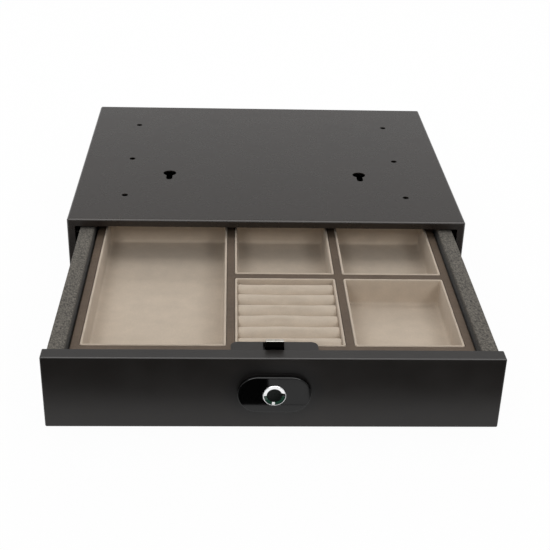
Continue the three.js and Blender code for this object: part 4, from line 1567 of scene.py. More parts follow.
@dataclass
class Tub:
    """The drawer's tub with its felt and the ledges that carry the tray."""

    felt: float = 0.9
    rail_bend: float = 1.2
    tuck: float = 0.3
    least_bend: float = 0.2
    skirt_share: float = 0.6
    felt_steps: int = 70
    side_steps: int = 6
    top_steps: int = 5
    corner_steps: int = 5
    tuck_steps: int = 3
    unevenness: float = 0.18
    swell_size: float = 9
    swell_seed: float = 3.1
    sideways_share: float = 0.5
    upwards_share: float = 0.6
    sunk_share: float = 0.4
    soft_depth: float = 1.5
    crease: float = 50

    def rail_outline(self, low: Vector, high: Vector) -> list[Flat]:
        """Gives the section of the right-hand rail felt.

        Args:
            low: The felt's lowest corner.
            high: Its highest corner.

        Returns:
            The section's points across and up.
        """
        inside, edge, top = low.x, high.x, high.z
        felt, bend, tuck, steps = self.felt, self.rail_bend, self.tuck, self.corner_steps
        outer_bend = bend / 2
        slide_top = box_of("slide_outer_right")[1].z
        skirt = slide_top + (top - slide_top) * self.skirt_share
        side = (top - bend - low.z) / self.side_steps
        width = (edge - outer_bend - inside - bend) / self.top_steps
        inner = max(bend - felt, self.least_bend)
        return [
            *((inside, low.z + side * i) for i in range(self.side_steps)),
            *arc((inside + bend, top - bend), bend, 180, 90, steps),
            *((inside + bend + width * i, top) for i in range(1, self.top_steps)),
            *arc((edge - outer_bend, top - outer_bend), outer_bend, 90, 0, steps),
            (edge, skirt), (edge - felt, skirt),
            *arc((edge - felt - tuck, top - felt - tuck), tuck, 0, 90, self.tuck_steps),
            *arc((inside + felt + inner, top - felt - inner), inner, 90, 180, steps),
            (inside + felt, low.z),
        ]

    def swollen(self, place: Point, low: Vector, high: Vector, hand: Hand) -> Point:
        """Moves a point of a rail felt a little, as felt lies.

        Args:
            place: The point on the right-hand felt.
            low: The felt's lowest corner.
            high: Its highest corner.
            hand: The felt's side.

        Returns:
            The point on that side's felt.
        """
        u, y, v = place
        swell = wobble(place, self.swell_size, self.unevenness, hand.value * self.swell_seed)
        keep = max(0, min(1, u - low.x, high.x - u, high.z - v))
        if v > high.z - self.soft_depth:
            lift = swell * self.upwards_share - self.unevenness * self.sunk_share
            v = min(high.z, v + lift)
        return hand.value * (u + swell * keep * self.sideways_share), y, v

    def rail_felt(self, hand: Hand) -> Piece:
        """Makes the felt over one rail.

        Args:
            hand: The rail's side.

        Returns:
            The felt.
        """
        low, high = box_of("rail_cover_right")
        outline = self.rail_outline(low, high)
        rings = []
        for i in range(self.felt_steps + 1):
            y = low.y + (high.y - low.y) * i / self.felt_steps
            rings.append([self.swollen((u, y, v), low, high, hand) for u, v in outline])
        return shaded(lofted("rail_felt_" + hand.word, rings), self.crease)

    def build(self, wardrobe: Wardrobe) -> None:
        """Makes and dresses the tub's pieces.

        Args:
            wardrobe: Dresses the pieces.
        """
        wardrobe.dress_eased([
            ("drawer_tub", "tub", "case_paint", 0.4, 2),
            ("floor_liner", "floor_felt", "grey_felt", 0.3, 2),
        ])
        for hand in Hand:
            wardrobe.dress(self.rail_felt(hand), "grey_felt", "rail_cover_" + hand.word)
            wardrobe.dress_eased([
                ("tray_ledge_" + hand.word, "ledge_" + hand.word, "case_paint", 0.3, 2)
            ])


@dataclass
class Padding:
    """Stuffed cloth: a piece is blown up a little and keeps the shape it takes.

    Attributes:
        voxel: Size of the cloth's mesh, in millimetres.
        pressure: Air pressure inside.
        frames: How long it is blown.
        reach: The farthest that a point may move, in millimetres.
    """

    voxel: float = 1.6
    pressure: float = 6
    frames: int = 20
    reach: float = 1.1

    def blown(self, piece: Piece, held: Callable[[Vector], bool]) -> Piece:
        """Blows a closed piece up.

        Args:
            piece: The piece, made a little too small.
            held: Tells for a point, in millimetres, whether it is sewn down.

        Returns:
            The same piece.
        """
        net = piece.modifiers.new("net", "REMESH")
        net.mode = "VOXEL"
        net.voxel_size = self.voxel * MM
        baked(piece)
        starts = [vertex.co.copy() for vertex in piece.data.vertices]
        ends = self._simulated(piece, held)
        for vertex, start, end in zip(piece.data.vertices, starts, ends):
            move = end - start
            if move.length > self.reach * MM:
                move *= self.reach * MM / move.length
            vertex.co = start + move
        piece.data.update()
        return piece

    def _simulated(self, piece: Piece, held: Callable[[Vector], bool]) -> list[Vector]:
        """Lets the cloth simulation run.

        Args:
            piece: The piece.
            held: Tells for a point, in millimetres, whether it is sewn down.

        Returns:
            The points as the simulation leaves them.
        """
        sewn = piece.vertex_groups.new(name="sewn")
        fixed = [v.index for v in piece.data.vertices if held(v.co / MM)]
        sewn.add(fixed, 1.0, "REPLACE")
        cloth = piece.modifiers.new("air", "CLOTH")
        cloth.settings.vertex_group_mass = sewn.name
        cloth.settings.use_pressure = True
        cloth.settings.uniform_pressure_force = self.pressure
        cloth.settings.effector_weights.gravity = 0
        cloth.point_cache.frame_start = 1
        cloth.point_cache.frame_end = self.frames
        scene = bpy.context.scene
        for number in range(1, self.frames + 1):
            scene.frame_set(number)
        graph = bpy.context.evaluated_depsgraph_get()
        shape = piece.evaluated_get(graph).to_mesh()
        ends = [vertex.co.copy() for vertex in shape.vertices]
        piece.evaluated_get(graph).to_mesh_clear()
        piece.modifiers.remove(cloth)
        piece.vertex_groups.remove(sewn)
        scene.frame_set(1)
        return ends


@dataclass
class Tray:
    """The lift-out tray: leather cloth frame, velour cells and ring rolls."""

    cells: tuple[str, ...] = ("large", "ring", "middle", "corner", "right")
    corner: float = 2.5
    pocket_steps: int = 8
    inner_corner: float = 1
    inner_steps: int = 6
    round_edge: float = 1.5
    edge_steps: int = 5
    frame_corner: float = 0.6
    corner_steps: int = 5
    turned_edge: float = 0.5
    turned_steps: int = 3
    frame_crease: float = 50
    seat: float = 0.3
    overrun: float = 5
    wall: float = 2.3
    floor_sheet: float = 1.2
    foot_edge: float = 0.5
    side_band: float = 8
    rim_band: float = 6
    rim_steps: int = 8
    fillet: float = 3
    fillet_steps: int = 4
    liner_crease: float = 60
    floor_rings: tuple[float, ...] = (3, 8, 16)
    side_steps: int = 26
    rim_wave: float = 0.28
    rim_size: float = 14
    rim_share: float = 0.6
    dip: float = 0.25
    dip_size: float = 11
    floor_size: float = 30
    floor_reach: float = 0.01
    liner_seed: float = 5.3
    roll_count: int = 6
    roll_steps: int = 56
    crown_steps: int = 24
    crown_wave: float = 0.5
    crown_size: float = 26
    roll_crease: float = 70
    seam_wave: float = 1.2
    seam_size: float = 34
    seam_spread: float = 37
    seam_seed: float = 1.3
    straight: float = 0.62
    squareness: float = 2.7
    slack: float = 0.9
    end_slack: float = -0.8
    seam_gap: float = 0.1
    fill: float = 0.8
    padding: Padding = field(default_factory=Padding)

    def frame_piece(self) -> Piece:
        """Makes the leather cloth frame with its five pockets.

        Returns:
            The frame.
        """
        low, high = box_of("tray_frame")
        edge = self.round_edge
        round_over = []
        for step in range(self.edge_steps + 1):
            turn = math.pi / 2 * step / self.edge_steps
            round_over.append((edge * (1 - math.sin(turn)), edge * (1 - math.cos(turn))))
        levels = [(inset, low.z + drop) for inset, drop in round_over]
        levels += [(inset, high.z - drop) for inset, drop in reversed(round_over)]
        rings = []
        for inset, z in levels:
            radius = edge + self.frame_corner - inset
            outline = rounded_outline(low.xy, high.xy, inset, radius, self.corner_steps)
            rings.append([(u, v, z) for u, v in outline])
        pocket_floor = box_of("liner_large")[0].z - self.seat
        cutters = []
        for cell in self.cells:
            c_low, c_high = box_of("liner_" + cell)
            hole = rounded_outline(
                c_low.xy, c_high.xy, -self.seat, self.corner, self.pocket_steps
            )
            cutters.append(
                prism("pocket", hole, Axis.Z, pocket_floor, high.z + self.overrun)
            )
        body = lofted("tray_frame_cover", rings)
        cut(body, cutters)
        return softened(body, self.turned_edge, self.turned_steps, self.frame_crease)

    def liner(self, cell: str, seed: float) -> Piece:
        """Makes one cell's velour liner with its soft rim.

        Args:
            cell: The cell's name.
            seed: Makes its unevenness its own.

        Returns:
            The liner.
        """
        low, high = box_of("liner_" + cell)
        floor = low.z + self.floor_sheet
        half, wall, fillet = self.wall / 2, self.wall, self.fillet
        band = high.z - half - self.rim_band
        profile = [
            (self.foot_edge, low.z), (0, low.z + self.foot_edge),
            (0, low.z + self.side_band), (0, band),
            *arc((half, high.z - half), half, 180, 0, self.rim_steps),
            (wall, band), (wall, floor + self.side_band),
            *arc((wall + fillet, floor + fillet), fillet, 180, 270, self.fillet_steps),
            *((wall + fillet + reach, floor) for reach in self.floor_rings),
        ]
        rings = []
        for inset, z in profile:
            radius = max(self.corner - self.seat - inset, self.inner_corner)
            outline = rounded_outline(
                low.xy, high.xy, inset, radius, self.inner_steps, self.side_steps
            )
            rings.append(
                [self._napped((u, v, z), inset, floor, high.z, seed) for u, v in outline]
            )
        return shaded(lofted("velour_" + cell, rings), self.liner_crease)

    def _napped(
        self, place: Point, inset: float, floor: float, rim: float, seed: float
    ) -> Point:
        """Moves a liner's point a little, as padded cloth lies.

        Args:
            place: The point.
            inset: How far it is inside the liner's outline.
            floor: The liner's floor level.
            rim: Its rim's level.
            seed: Makes the liner's unevenness its own.

        Returns:
            The moved point.
        """
        u, v, z = place
        near_rim = max(0.0, 1 - (rim - z) / self.rim_band)
        size, wave, share = self.rim_size, self.rim_wave, near_rim * self.rim_share
        if inset > 0:
            u += wobble((u, v, 0), size, wave, seed) * share
            v += wobble((v, u, 5), size, wave, seed + 4) * share
        drop = abs(wobble((u, v, 9), self.dip_size, self.dip, seed + 9)) * near_rim
        if z <= floor + self.floor_reach and inset > self.wall:
            drop = -abs(wobble((u, v, 3), self.floor_size, self.dip, seed))
        return u, v, z - drop

    def seam(self, number: int, x: float, near: float, pitch: float) -> float:
        """Gives the place of the seam before a roll, counted from 0.

        Args:
            number: Which seam.
            x: Where along it.
            near: The first seam's place.
            pitch: A roll's width.

        Returns:
            The seam's place along y, in millimetres.
        """
        sway = 0.0
        if 0 < number < self.roll_count:
            spot = (x, number * self.seam_spread, 2)
            sway = wobble(spot, self.seam_size, self.seam_wave, self.seam_seed)
        return near + number * pitch + sway

    def roll(self, number: int) -> Piece:
        """Makes one padded ring roll.

        Args:
            number: Which roll, counted from 1 at the front.

        Returns:
            The roll.
        """
        low, high = box_of(f"ring_roll_{number}")
        first, last = box_of("ring_roll_1")[0], box_of(f"ring_roll_{self.roll_count}")[1]
        pitch = (last.y - first.y + self.seat) / self.roll_count
        near = first.y - self.seat / 2
        left, right = low.x + self.end_slack, high.x - self.end_slack
        rings = []
        for i in range(self.roll_steps + 1):
            x = left + (right - left) * i / self.roll_steps
            y0 = self.seam(number - 1, x, near, pitch) + self.slack
            y1 = self.seam(number, x, near, pitch) - self.slack
            sunk = abs(wobble((x, y0, 4), self.crown_size, self.crown_wave, number))
            top = high.z - self.slack - sunk
            rings.append([(x, y, z) for y, z in self.roll_section(y0, y1, low.z, top)])
        roll = lofted(f"padded_roll_{number}", rings)
        foot = low.z + self.padding.voxel
        self.padding.blown(roll, lambda point: point.z < foot)
        for vertex in roll.data.vertices:
            x, y, z = vertex.co / MM
            x = min(max(x, left), right)
            y = max(y, self.seam(number - 1, x, near, pitch) + self.seam_gap)
            y = min(y, self.seam(number, x, near, pitch) - self.seam_gap)
            vertex.co = Vector((x, y, min(max(z, low.z), high.z))) * MM
        finer = roll.modifiers.new("finer", "SUBSURF")
        finer.levels = finer.render_levels = 1
        return shaded(baked(roll), self.roll_crease)

    def roll_section(self, y0: float, y1: float, foot: float, top: float) -> list[Flat]:
        """Gives a roll's section: straight sides and a crown.

        Args:
            y0: Its front.
            y1: Its rear.
            foot: Its underside.
            top: Its crown's level.

        Returns:
            The points across and up, from the front of the foot to the rear.
        """
        middle, half = (y0 + y1) / 2, (y1 - y0) / 2
        shoulder = foot + (top - foot) * self.straight
        power, steps = 2 / self.squareness, self.crown_steps
        points = [(y0, foot), (y0, (foot + shoulder) / 2)]
        for step in range(steps + 1):
            angle = math.pi * (1 - step / steps)
            across = math.copysign(abs(math.cos(angle)) ** power, math.cos(angle))
            lift = math.sin(angle) ** power if 0 < step < steps else 0.0
            points.append((middle + half * across, shoulder + (top - shoulder) * lift))
        return points + [(y1, (foot + shoulder) / 2), (y1, foot)]

    def build(self, wardrobe: Wardrobe) -> None:
        """Makes and dresses the tray's pieces.

        Args:
            wardrobe: Dresses the pieces.
        """
        wardrobe.dress(self.frame_piece(), "leather_cloth", "tray_frame")
        for number, cell in enumerate(self.cells):
            liner = self.liner(cell, number * self.liner_seed)
            wardrobe.dress(liner, "velour", "liner_" + cell)
        for number in range(1, self.roll_count + 1):
            roll = wardrobe.dress(self.roll(number), "velour", f"ring_roll_{number}")


class PointTree(Graph):
    """A Geometry Nodes tree that places a shape on points, and its use."""

    def __init__(self, name: str, sizes: dict[str, float]) -> None:
        """Starts a tree.

        Args:
            name: The tree's name.
            sizes: Its number inputs with their usual values.
        """
        super().__init__(bpy.data.node_groups.new(name, "GeometryNodeTree"))
        face = self.tree.interface
        face.new_socket("Geometry", in_out="INPUT", socket_type="NodeSocketGeometry")
        self.sockets = {}
        for key, value in sizes.items():
            kind = "NodeSocketInt" if isinstance(value, int) else "NodeSocketFloat"
            socket = face.new_socket(key, in_out="INPUT", socket_type=kind)
            socket.default_value = value
            self.sockets[key] = socket.identifier
        finish = face.new_socket("Finish", in_out="INPUT", socket_type="NodeSocketMaterial")
        self.sockets["Finish"] = finish.identifier
        face.new_socket("Geometry", in_out="OUTPUT", socket_type="NodeSocketGeometry")
        self.given = self.node("NodeGroupInput").outputs

    def inputs(self, **names: str) -> dict[str, Socket]:
        """Gives a node's inputs, named with _ for a space, the tree's sizes of other names."""
        return {key.replace("_", " "): self.given[name] for key, name in names.items()}

    def moved(self, geometry: Socket, up: Socket) -> Socket:
        """Moves geometry up."""
        inputs = {"Geometry": geometry, "Translation": self.vector(0, 0, up)}
        return self.node("GeometryNodeTransform", inputs).outputs["Geometry"]

    def boolean(self, operation: str, *inputs: tuple[str, Socket]) -> Socket:
        """Joins or cuts meshes.

        Args:
            operation: The name of the operation.
            *inputs: Its inputs' names and what they get.

        Returns:
            The result.
        """
        made = self.node("GeometryNodeMeshBoolean", operation=operation)
        for name, geometry in inputs:
            self.feed(made.inputs[name], geometry)
        return made.outputs["Mesh"]

    def close(self, shape: Socket, turn: Socket | None = None) -> "PointTree":
        """Ends the tree: the shape stands on each point, made real and with the finish.

        Args:
            shape: What stands there.
            turn: How it is turned.

        Returns:
            The same tree.
        """
        spread = self.node("GeometryNodeInstanceOnPoints", {
            "Points": self.given["Geometry"], "Instance": shape,
            **({"Rotation": turn} if turn else {}),
        })
        real = self.node(
            "GeometryNodeRealizeInstances", {"Geometry": spread.outputs["Instances"]}
        )
        finish = self.node("GeometryNodeSetMaterial", {
            "Geometry": real.outputs["Geometry"], "Material": self.given["Finish"],
        })
        self.node("NodeGroupOutput", {"Geometry": finish.outputs["Geometry"]})
        return self

    def apply(self, name: str, points: Sequence[Point], **values: object) -> Piece:
        """Runs the tree on points and gives the plain mesh.

        Args:
            name: The new piece's name.
            points: Where the tree places things, in millimetres.
            **values: Its inputs, named with _ for a space.

        Returns:
            The new piece.
        """
        piece = mesh_piece(name, points, [])
        modifier = piece.modifiers.new("nodes", "NODES")
        modifier.node_group = self.tree
        for key, value in values.items():
            modifier[self.sockets[key.replace("_", " ")]] = value
        return baked(piece)


def ball_tree() -> PointTree:
    """Makes the tree that puts a steel ball on each point.

    Returns:
        The tree.
    """
    tree = PointTree("ball_row", {"Radius": 0.0015, "Segments": 20, "Rings": 12})
    ball = tree.node("GeometryNodeMeshUVSphere", tree.inputs(
        Radius="Radius", Segments="Segments", Rings="Rings"
    ))
    smooth = tree.node("GeometryNodeSetShadeSmooth", {"Geometry": ball.outputs["Mesh"]})
    return tree.close(smooth.outputs["Geometry"])


def screw_tree() -> PointTree:
    """Makes the tree that puts a flat headed cross recess screw on each point.

    Returns:
        The tree.
    """
    tree = PointTree("flat_screws", {
        "Head Radius": 0.0036, "Head Depth": 0.001, "Shank Radius": 0.002, "Length": 0.004,
        "Recess": 0.0036, "Recess Width": 0.0008, "Turn X": 0.0, "Turn Y": 0.0, "Sides": 28,
    })
    given = tree.given
    head = tree.node("GeometryNodeMeshCone", tree.inputs(
        Vertices="Sides", Radius_Bottom="Shank Radius", Radius_Top="Head Radius",
        Depth="Head Depth",
    )).outputs["Mesh"]
    shank = tree.node("GeometryNodeMeshCylinder", {
        **tree.inputs(Vertices="Sides", Radius="Shank Radius"),
        "Depth": tree.maths("SUBTRACT", given["Length"], given["Head Depth"]),
    }).outputs["Mesh"]
    middle = tree.maths(
        "MULTIPLY", tree.maths("ADD", given["Length"], given["Head Depth"]), -0.5
    )
    body = tree.boolean(
        "UNION",
        ("Mesh 2", tree.moved(head, tree.maths("MULTIPLY", given["Head Depth"], -1.0))),
        ("Mesh 2", tree.moved(shank, middle)),
    )
    cross = tree.node("GeometryNodeJoinGeometry")
    for sides in (("Recess", "Recess Width"), ("Recess Width", "Recess")):
        size = tree.vector(*(given[side] for side in sides), given["Head Depth"])
        bar = tree.node("GeometryNodeMeshCube", {"Size": size})
        tree.feed(cross.inputs["Geometry"], bar.outputs["Mesh"])
    carved = tree.boolean(
        "DIFFERENCE", ("Mesh 1", body), ("Mesh 2", cross.outputs["Geometry"])
    )
    return tree.close(carved, tree.vector(given["Turn X"], given["Turn Y"]))


def coil_tree() -> PointTree:
    """Makes the tree that winds a coil upwards from each point.

    Returns:
        The tree.
    """
    tree = PointTree("wound_coil", {
        "Turns": 8.0, "Radius": 0.002, "Height": 0.015, "Wire": 0.0004, "Steps": 24,
        "Wire Sides": 10,
    })
    path = tree.node("GeometryNodeCurveSpiral", tree.inputs(
        Resolution="Steps", Rotations="Turns", Start_Radius="Radius", End_Radius="Radius",
        Height="Height",
    ))
    wire = tree.node(
        "GeometryNodeCurvePrimitiveCircle", tree.inputs(Resolution="Wire Sides", Radius="Wire")
    )
    tube = tree.node("GeometryNodeCurveToMesh", {
        "Curve": path.outputs["Curve"], "Profile Curve": wire.outputs["Curve"],
        "Fill Caps": True,
    })
    return tree.close(tube.outputs["Mesh"])


@dataclass
class Slides:
    """The ball bearing slides: members, ball cages and their screws."""

    member_edge: float = 0.22
    cage_sheet: float = 0.5
    cage_web: float = 0.6
    cage_edge: float = 0.12
    balls_in_strip: int = 5
    outer_ball: float = 3
    inner_ball: float = 2.4
    head_radius: float = 3.6
    head_depth: float = 1
    shank_radius: float = 2

    def cage(self, wardrobe: Wardrobe, balls: PointTree, node: str, ball: float) -> None:
        """Makes one cage: a bent strip and its two rows of balls.

        Args:
            wardrobe: Dresses the pieces.
            balls: The tree of the balls.
            node: The frame's node.
            ball: The balls' diameter.
        """
        low, high = box_of(node)
        side = 1 if low.x > 0 else -1
        middle = (low.z + high.z) / 2
        level = high.z - ball / 2 - middle
        web_out, free = (high.x, low.x) if side > 0 else (low.x, high.x)
        web_in = web_out - side * self.cage_web
        top = level + self.cage_sheet / 2
        under = top - self.cage_sheet
        section = [
            (web_out, middle - top), (web_out, middle + top), (free, middle + top),
            (free, middle + under), (web_in, middle + under), (web_in, middle - under),
            (free, middle - under), (free, middle - top),
        ]
        strip = prism(node + "_strip", section, Axis.Y, low.y, high.y)
        wardrobe.dress(softened(strip, self.cage_edge), "zinc_steel", node)
        ball_x = (free + web_in) / 2
        pitch = (high.y - low.y) / self.balls_in_strip
        places = [
            (ball_x, low.y + pitch * (i + 0.5), middle + up * level)
            for up in (-1, 1) for i in range(self.balls_in_strip)
        ]
        row = balls.apply(
            node + "_balls", places, Radius=ball / 2 * MM,
            Finish=wardrobe.materials["polished_steel"],
        )
        wardrobe.dress(row, "polished_steel", body=frame["nodes"][node]["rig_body"])

    def screws(self, wardrobe: Wardrobe, tree: PointTree, kind: str, towards: int) -> None:
        """Makes the screws that hold one kind of member.

        Args:
            wardrobe: Dresses the pieces.
            tree: The tree of the screws.
            kind: The start of the frame nodes' names.
            towards: 1 where the heads face the drawer, -1 where they face the case.
        """
        for hand in Hand:
            nodes = [f"{kind}_{hand.word}_{number}" for number in (1, 2)]
            places = []
            for node in nodes:
                low, high = box_of(node)
                head = low.x if hand.value * towards > 0 else high.x
                places.append((head, (low.y + high.y) / 2, (low.z + high.z) / 2))
                length = high.x - low.x
            piece = tree.apply(
                f"{kind}s_{hand.word}", places, Length=length * MM,
                Head_Radius=self.head_radius * MM, Head_Depth=self.head_depth * MM,
                Shank_Radius=self.shank_radius * MM,
                Turn_Y=-hand.value * towards * math.pi / 2,
                Finish=wardrobe.materials["zinc_steel"],
            )
            wardrobe.dress(shaded(piece), "zinc_steel", *nodes)

    def build(self, wardrobe: Wardrobe) -> None:
        """Makes and dresses the slides.

        Args:
            wardrobe: Dresses the pieces.
        """
        balls, screws = ball_tree(), screw_tree()
        for hand in Hand:
            wardrobe.dress_eased(
                (f"slide_{member}_{hand.word}", f"slide_{member}_{hand.word}_member",
                 "zinc_steel", self.member_edge, 2)
                for member in ("outer", "middle", "inner")
            )
            self.cage(wardrobe, balls, "outer_ball_cage_" + hand.word, self.outer_ball)
            self.cage(wardrobe, balls, "inner_ball_cage_" + hand.word, self.inner_ball)
        self.screws(wardrobe, screws, "case_slide_screw", 1)
        self.screws(wardrobe, screws, "tub_slide_screw", -1)


@dataclass
class Lock:
    """The lock: housing, bolt, spring, pinion, motor, board and cells."""

    housing_edge: float = 0.5
    edge_steps: int = 3
    housing_rim: float = 1.2
    housing_corner: float = 6
    rim_steps: int = 5
    reach: float = 0.1
    panel_gap: float = 1
    wire: float = 0.8
    turns: float = 8
    coil_crease: float = 60
    throw: float = 8
    screw_radius: float = 1.5
    screw_head: float = 3
    screw_head_depth: float = 1.2
    screw_recess: float = 3

    def housing(self) -> Piece:
        """Makes the housing, rounded over along the outside of its top.

        Returns:
            The housing.
        """
        high = box_of("lock_housing")[1]
        front = box_of("front_panel")[1].y + self.panel_gap
        side, rear = high.x - self.housing_corner - self.reach, high.y - self.reach
        piece = merged_copy("lock_housing", "lock_case")
        with mesh_work(piece) as work:
            rim = []
            for edge in work.edges:
                ends = [vertex.co / MM for vertex in edge.verts]
                level = all(end.z > high.z - self.reach for end in ends)
                outside = all(abs(end.x) > side or end.y > rear for end in ends)
                if level and outside and max(end.y for end in ends) > front:
                    rim.append(edge)
            bevelled(work, rim, self.housing_rim, self.rim_steps)
        return softened(piece, self.housing_edge, self.edge_steps)

    def spring(self, wardrobe: Wardrobe) -> None:
        """Makes the bolt's spring, which the bolt presses.

        Args:
            wardrobe: Dresses the spring.
        """
        low, high = box_of("bolt_spring")
        radius = (high.x - low.x) / 2 - self.wire / 2
        length = high.z - low.z
        place = ((low.x + high.x) / 2, (low.y + high.y) / 2, low.z + self.wire / 2)
        coil = coil_tree().apply(
            "bolt_coil", [place], Turns=self.turns, Radius=radius * MM,
            Height=(length - self.wire) * MM, Wire=self.wire / 2 * MM,
            Finish=wardrobe.materials["zinc_steel"],
        )
        shaded(coil, self.coil_crease)
        wardrobe.dress(coil, "zinc_steel", "bolt_spring", body="drawer")
        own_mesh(coil)

    def screws(self, wardrobe: Wardrobe) -> None:
        """Makes the screws that hold the housing.

        Args:
            wardrobe: Dresses the screws.
        """
        nodes = ["lock_screw_1", "lock_screw_2"]
        places = []
        for node in nodes:
            low, high = box_of(node)
            places.append(((low.x + high.x) / 2, high.y, (low.z + high.z) / 2))
            length = high.y - low.y
        piece = screw_tree().apply(
            "housing_screws", places, Length=length * MM, Head_Radius=self.screw_head * MM,
            Head_Depth=self.screw_head_depth * MM, Shank_Radius=self.screw_radius * MM,
            Recess=self.screw_recess * MM, Turn_X=-math.pi / 2,
            Finish=wardrobe.materials["zinc_steel"],
        )
        wardrobe.dress(shaded(piece), "zinc_steel", *nodes)

    def build(self, wardrobe: Wardrobe) -> None:
        """Makes and dresses the lock's pieces.

        Args:
            wardrobe: Dresses the pieces.
        """
        wardrobe.dress_eased([
            ("latch_bolt", "latch_tongue", "latch_steel", 0.25, 3),
            ("lock_pinion", "pinion_wheel", "polished_steel", 0.08, 3),
            ("lock_motor", "gear_motor", "zinc_steel", 0.3, 3),
            ("circuit_board", "control_board", "board", 0.12, 3),
            ("battery_right", "power_cell_right", "battery_wrap", 0.2, 3),
            ("battery_left", "power_cell_left", "battery_wrap", 0.2, 3),
        ])
        wardrobe.dress(self.housing(), "lock_plastic", "lock_housing")
        self.spring(wardrobe)
        self.screws(wardrobe)


@dataclass(frozen=True)
class Card:
    """A flat card that shows in reflections alone.

    Attributes:
        name: Its name.
        low: Its lowest corner, in millimetres.
        high: Its highest corner.
        level: Its brightness.
    """

    name: str
    low: Point
    high: Point
    level: float

    def build(self) -> None:
        """Puts up the card."""
        low, high = self.low, self.high
        corners = [low, (high[0], low[1], low[2]), high, (low[0], high[1], high[2])]
        card = mesh_piece(self.name, corners, [(0, 1, 2, 3)])
        graph, output = staged(card, self.name)
        glow = graph.node("ShaderNodeEmission", {"Strength": self.level})
        graph.feed(output, glow.outputs[0])
        card.visible_camera = False
        card.visible_diffuse = False
        card.visible_shadow = False
        card.visible_transmission = False


@dataclass(frozen=True)
class Lamp:
    """A soft box that glossy surfaces don't show.

    Attributes:
        name: Its name.
        place: Where it is, in metres.
        target: What it faces.
        size: Its width and height.
        watts: Its power.
    """

    name: str
    place: Point
    target: Point
    size: Flat
    watts: float

    def build(self) -> None:
        """Puts up the lamp."""
        data = bpy.data.lights.new(self.name, "AREA")
        data.shape = "RECTANGLE"
        data.size, data.size_y = self.size
        data.energy = self.watts
        lamp = linked(self.name, data)
        lamp.location = self.place
        lamp.visible_glossy = False
        aim = Vector(self.target) - Vector(self.place)
        lamp.rotation_euler = aim.to_track_quat("-Z", "Y").to_euler()


CARDS: tuple[Card, ...] = (
    # Dark ground and wall in front, which the panel's front and the fascia reflect.
    Card("dark_card", (-1500, -1500, 0.5), (1500, -461.5, 0.5), 0.01),
    Card("dark_wall", (-1500, -1500, 0), (1500, -1500, 220), 0.01),
    # Light slip that the fascia's right half reflects.
    Card("light_slip", (-1.5, -503.5, 1), (35, -461.5, 1), 0.9),
    # Screen behind, which the case's top reflects.
    Card("grey_screen", (-3000, 2500, 500), (3000, 2500, 2800), 0.64),
    # Overhead, which the folds and the bolt's top reflect.
    Card("overhead_card", (-1500, -1800, 1500), (1500, 100, 1500), 4.2),
    # Ground beside the drawer, which the case's front edges reflect.
    Card("side_card_right", (196, -380, 0.5), (300, -166, 0.5), 0.2),
    Card("side_card_left", (-300, -380, 0.5), (-196, -166, 0.5), 0.2),
)

MIDDLE = (0, -0.25, 0)  # metres; what the boxes face
LAMPS: tuple[Lamp, ...] = (
    Lamp("key", (0, 0.1, 1.6), (0, -0.2, 0), (2.4, 0.9), 8),
    Lamp("left_box", (-0.8, -2.08, 1.5), MIDDLE, (0.6, 0.6), 9.8),
    Lamp("right_box", (1.08, -1.98, 1.46), MIDDLE, (0.6, 0.6), 9.8),
    Lamp("back_box", (0, 1.1, 1.0), MIDDLE, (2.0, 0.6), 9),
)


def staged(piece: Piece, name: str) -> tuple[Graph, Socket]:
    """Gives a piece of the studio a material of its own.

    Args:
        piece: The piece, which isn't part of the safe.
        name: The material's name.

    Returns:
        The material's graph and the input for its surface.
    """
    material = bpy.data.materials.new(name)
    material.use_nodes = True
    piece.data.materials.append(material)
    output = material.node_tree.nodes["Material Output"]
    return Graph(material.node_tree), output.inputs["Surface"]


def seen_white(graph: Graph) -> Socket:
    """Tells what the camera, glossy and clear surfaces see from other light.

    Args:
        graph: The tree that asks.

    Returns:
        1 for what they see, and 0 for other light.
    """
    path = graph.node("ShaderNodeLightPath").outputs
    first = graph.maths("MAXIMUM", path["Is Camera Ray"], path["Is Glossy Ray"])
    return graph.maths("MAXIMUM", first, path["Is Transmission Ray"])


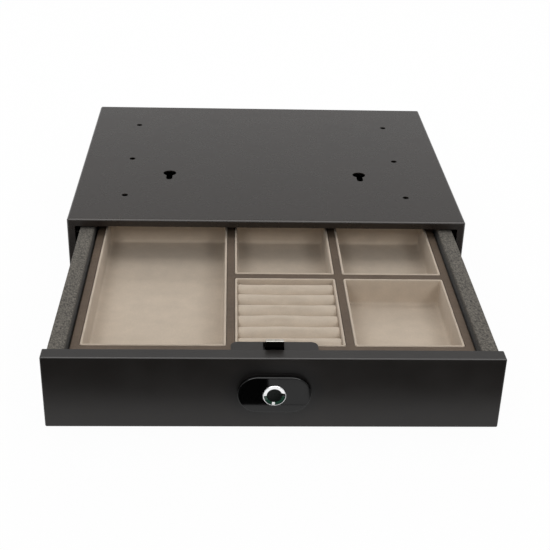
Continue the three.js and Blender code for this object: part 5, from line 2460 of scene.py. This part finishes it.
@dataclass
class Studio:
    """Camera, floor, lamps and surroundings."""

    lens: float = 71.98
    sensor: float = 36
    clip: float = 50
    place: Point = (-38.6, -1172.12, 571.95)
    pitch: float = 0.4967
    yaw: float = 0.0474
    roll: float = -0.0301
    floor_half: float = 12000
    floor_gap: float = 0.2
    floor_colour: float = 0.86
    floor_rough: float = 0.9
    floor_glow: float = 0.97
    sky_light: float = 0.38

    def camera(self) -> None:
        """Places the camera at the photograph's view."""
        p, y, r = self.pitch, self.yaw, self.roll
        ahead = Vector((math.sin(y) * math.cos(p), math.cos(y) * math.cos(p), -math.sin(p)))
        across = Vector((math.cos(y), -math.sin(y), 0))
        down = ahead.cross(across)
        right = across * math.cos(r) + down * math.sin(r)
        below = down * math.cos(r) - across * math.sin(r)
        data = bpy.data.cameras.new("camera")
        data.lens = self.lens
        data.sensor_width = self.sensor
        data.clip_end = self.clip
        camera = linked("camera", data)
        turn = Matrix((right, -below, -ahead)).transposed().to_4x4()
        camera.matrix_world = Matrix.Translation(Vector(self.place) * MM) @ turn
        bpy.context.scene.camera = camera

    def world(self) -> None:
        """Makes the surroundings: white as seen, softer as light."""
        world = bpy.data.worlds.new("surroundings")
        world.use_nodes = True
        bpy.context.scene.world = world
        graph = Graph(world.node_tree)
        lit = graph.node("ShaderNodeMapRange", {
            "Value": seen_white(graph), "To Min": self.sky_light, "To Max": 1.0,
        })
        sky = world.node_tree.nodes["Background"].inputs
        sky["Color"].default_value = (1, 1, 1, 1)
        graph.feed(sky["Strength"], lit.outputs["Result"])

    def floor(self) -> None:
        """Makes the floor: white as seen from above, and it keeps a soft shadow."""
        half, z = self.floor_half, -self.floor_gap
        corners = [(-half, -half, z), (half, -half, z), (half, half, z), (-half, half, z)]
        graph, output = staged(mesh_piece("floor", corners, [(0, 1, 2, 3)]), "floor_white")
        shader = graph.tree.nodes["Principled BSDF"]
        shader.inputs["Base Color"].default_value = (*[self.floor_colour] * 3, 1)
        shader.inputs["Roughness"].default_value = self.floor_rough
        glow = graph.node("ShaderNodeEmission", {"Strength": 1})
        seen = graph.node("ShaderNodeMixShader", {
            0: graph.maths("MULTIPLY", seen_white(graph), self.floor_glow),
            1: shader.outputs[0], 2: glow.outputs[0],
        })
        under = graph.node("ShaderNodeMixShader", {
            0: graph.node("ShaderNodeNewGeometry").outputs["Backfacing"],
            1: seen.outputs[0], 2: graph.node("ShaderNodeBsdfTransparent").outputs[0],
        })
        graph.feed(output, under.outputs[0])

    def build(self) -> None:
        """Makes the whole studio."""
        self.camera()
        self.world()
        self.floor()
        for stand in (*CARDS, *LAMPS):
            stand.build()
        bpy.context.scene.view_settings.view_transform = "Standard"


def main() -> None:
    """Builds the safe's pieces and the studio."""
    logging.basicConfig(level=logging.INFO, format="%(message)s")
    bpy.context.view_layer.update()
    wardrobe = Wardrobe(Effects())
    Studio().build()
    for part in (Casing(), FrontPanel(), Tub(), Tray(), Slides(), Lock()):
        part.build(wardrobe)


if __name__ == "__main__":
    main()
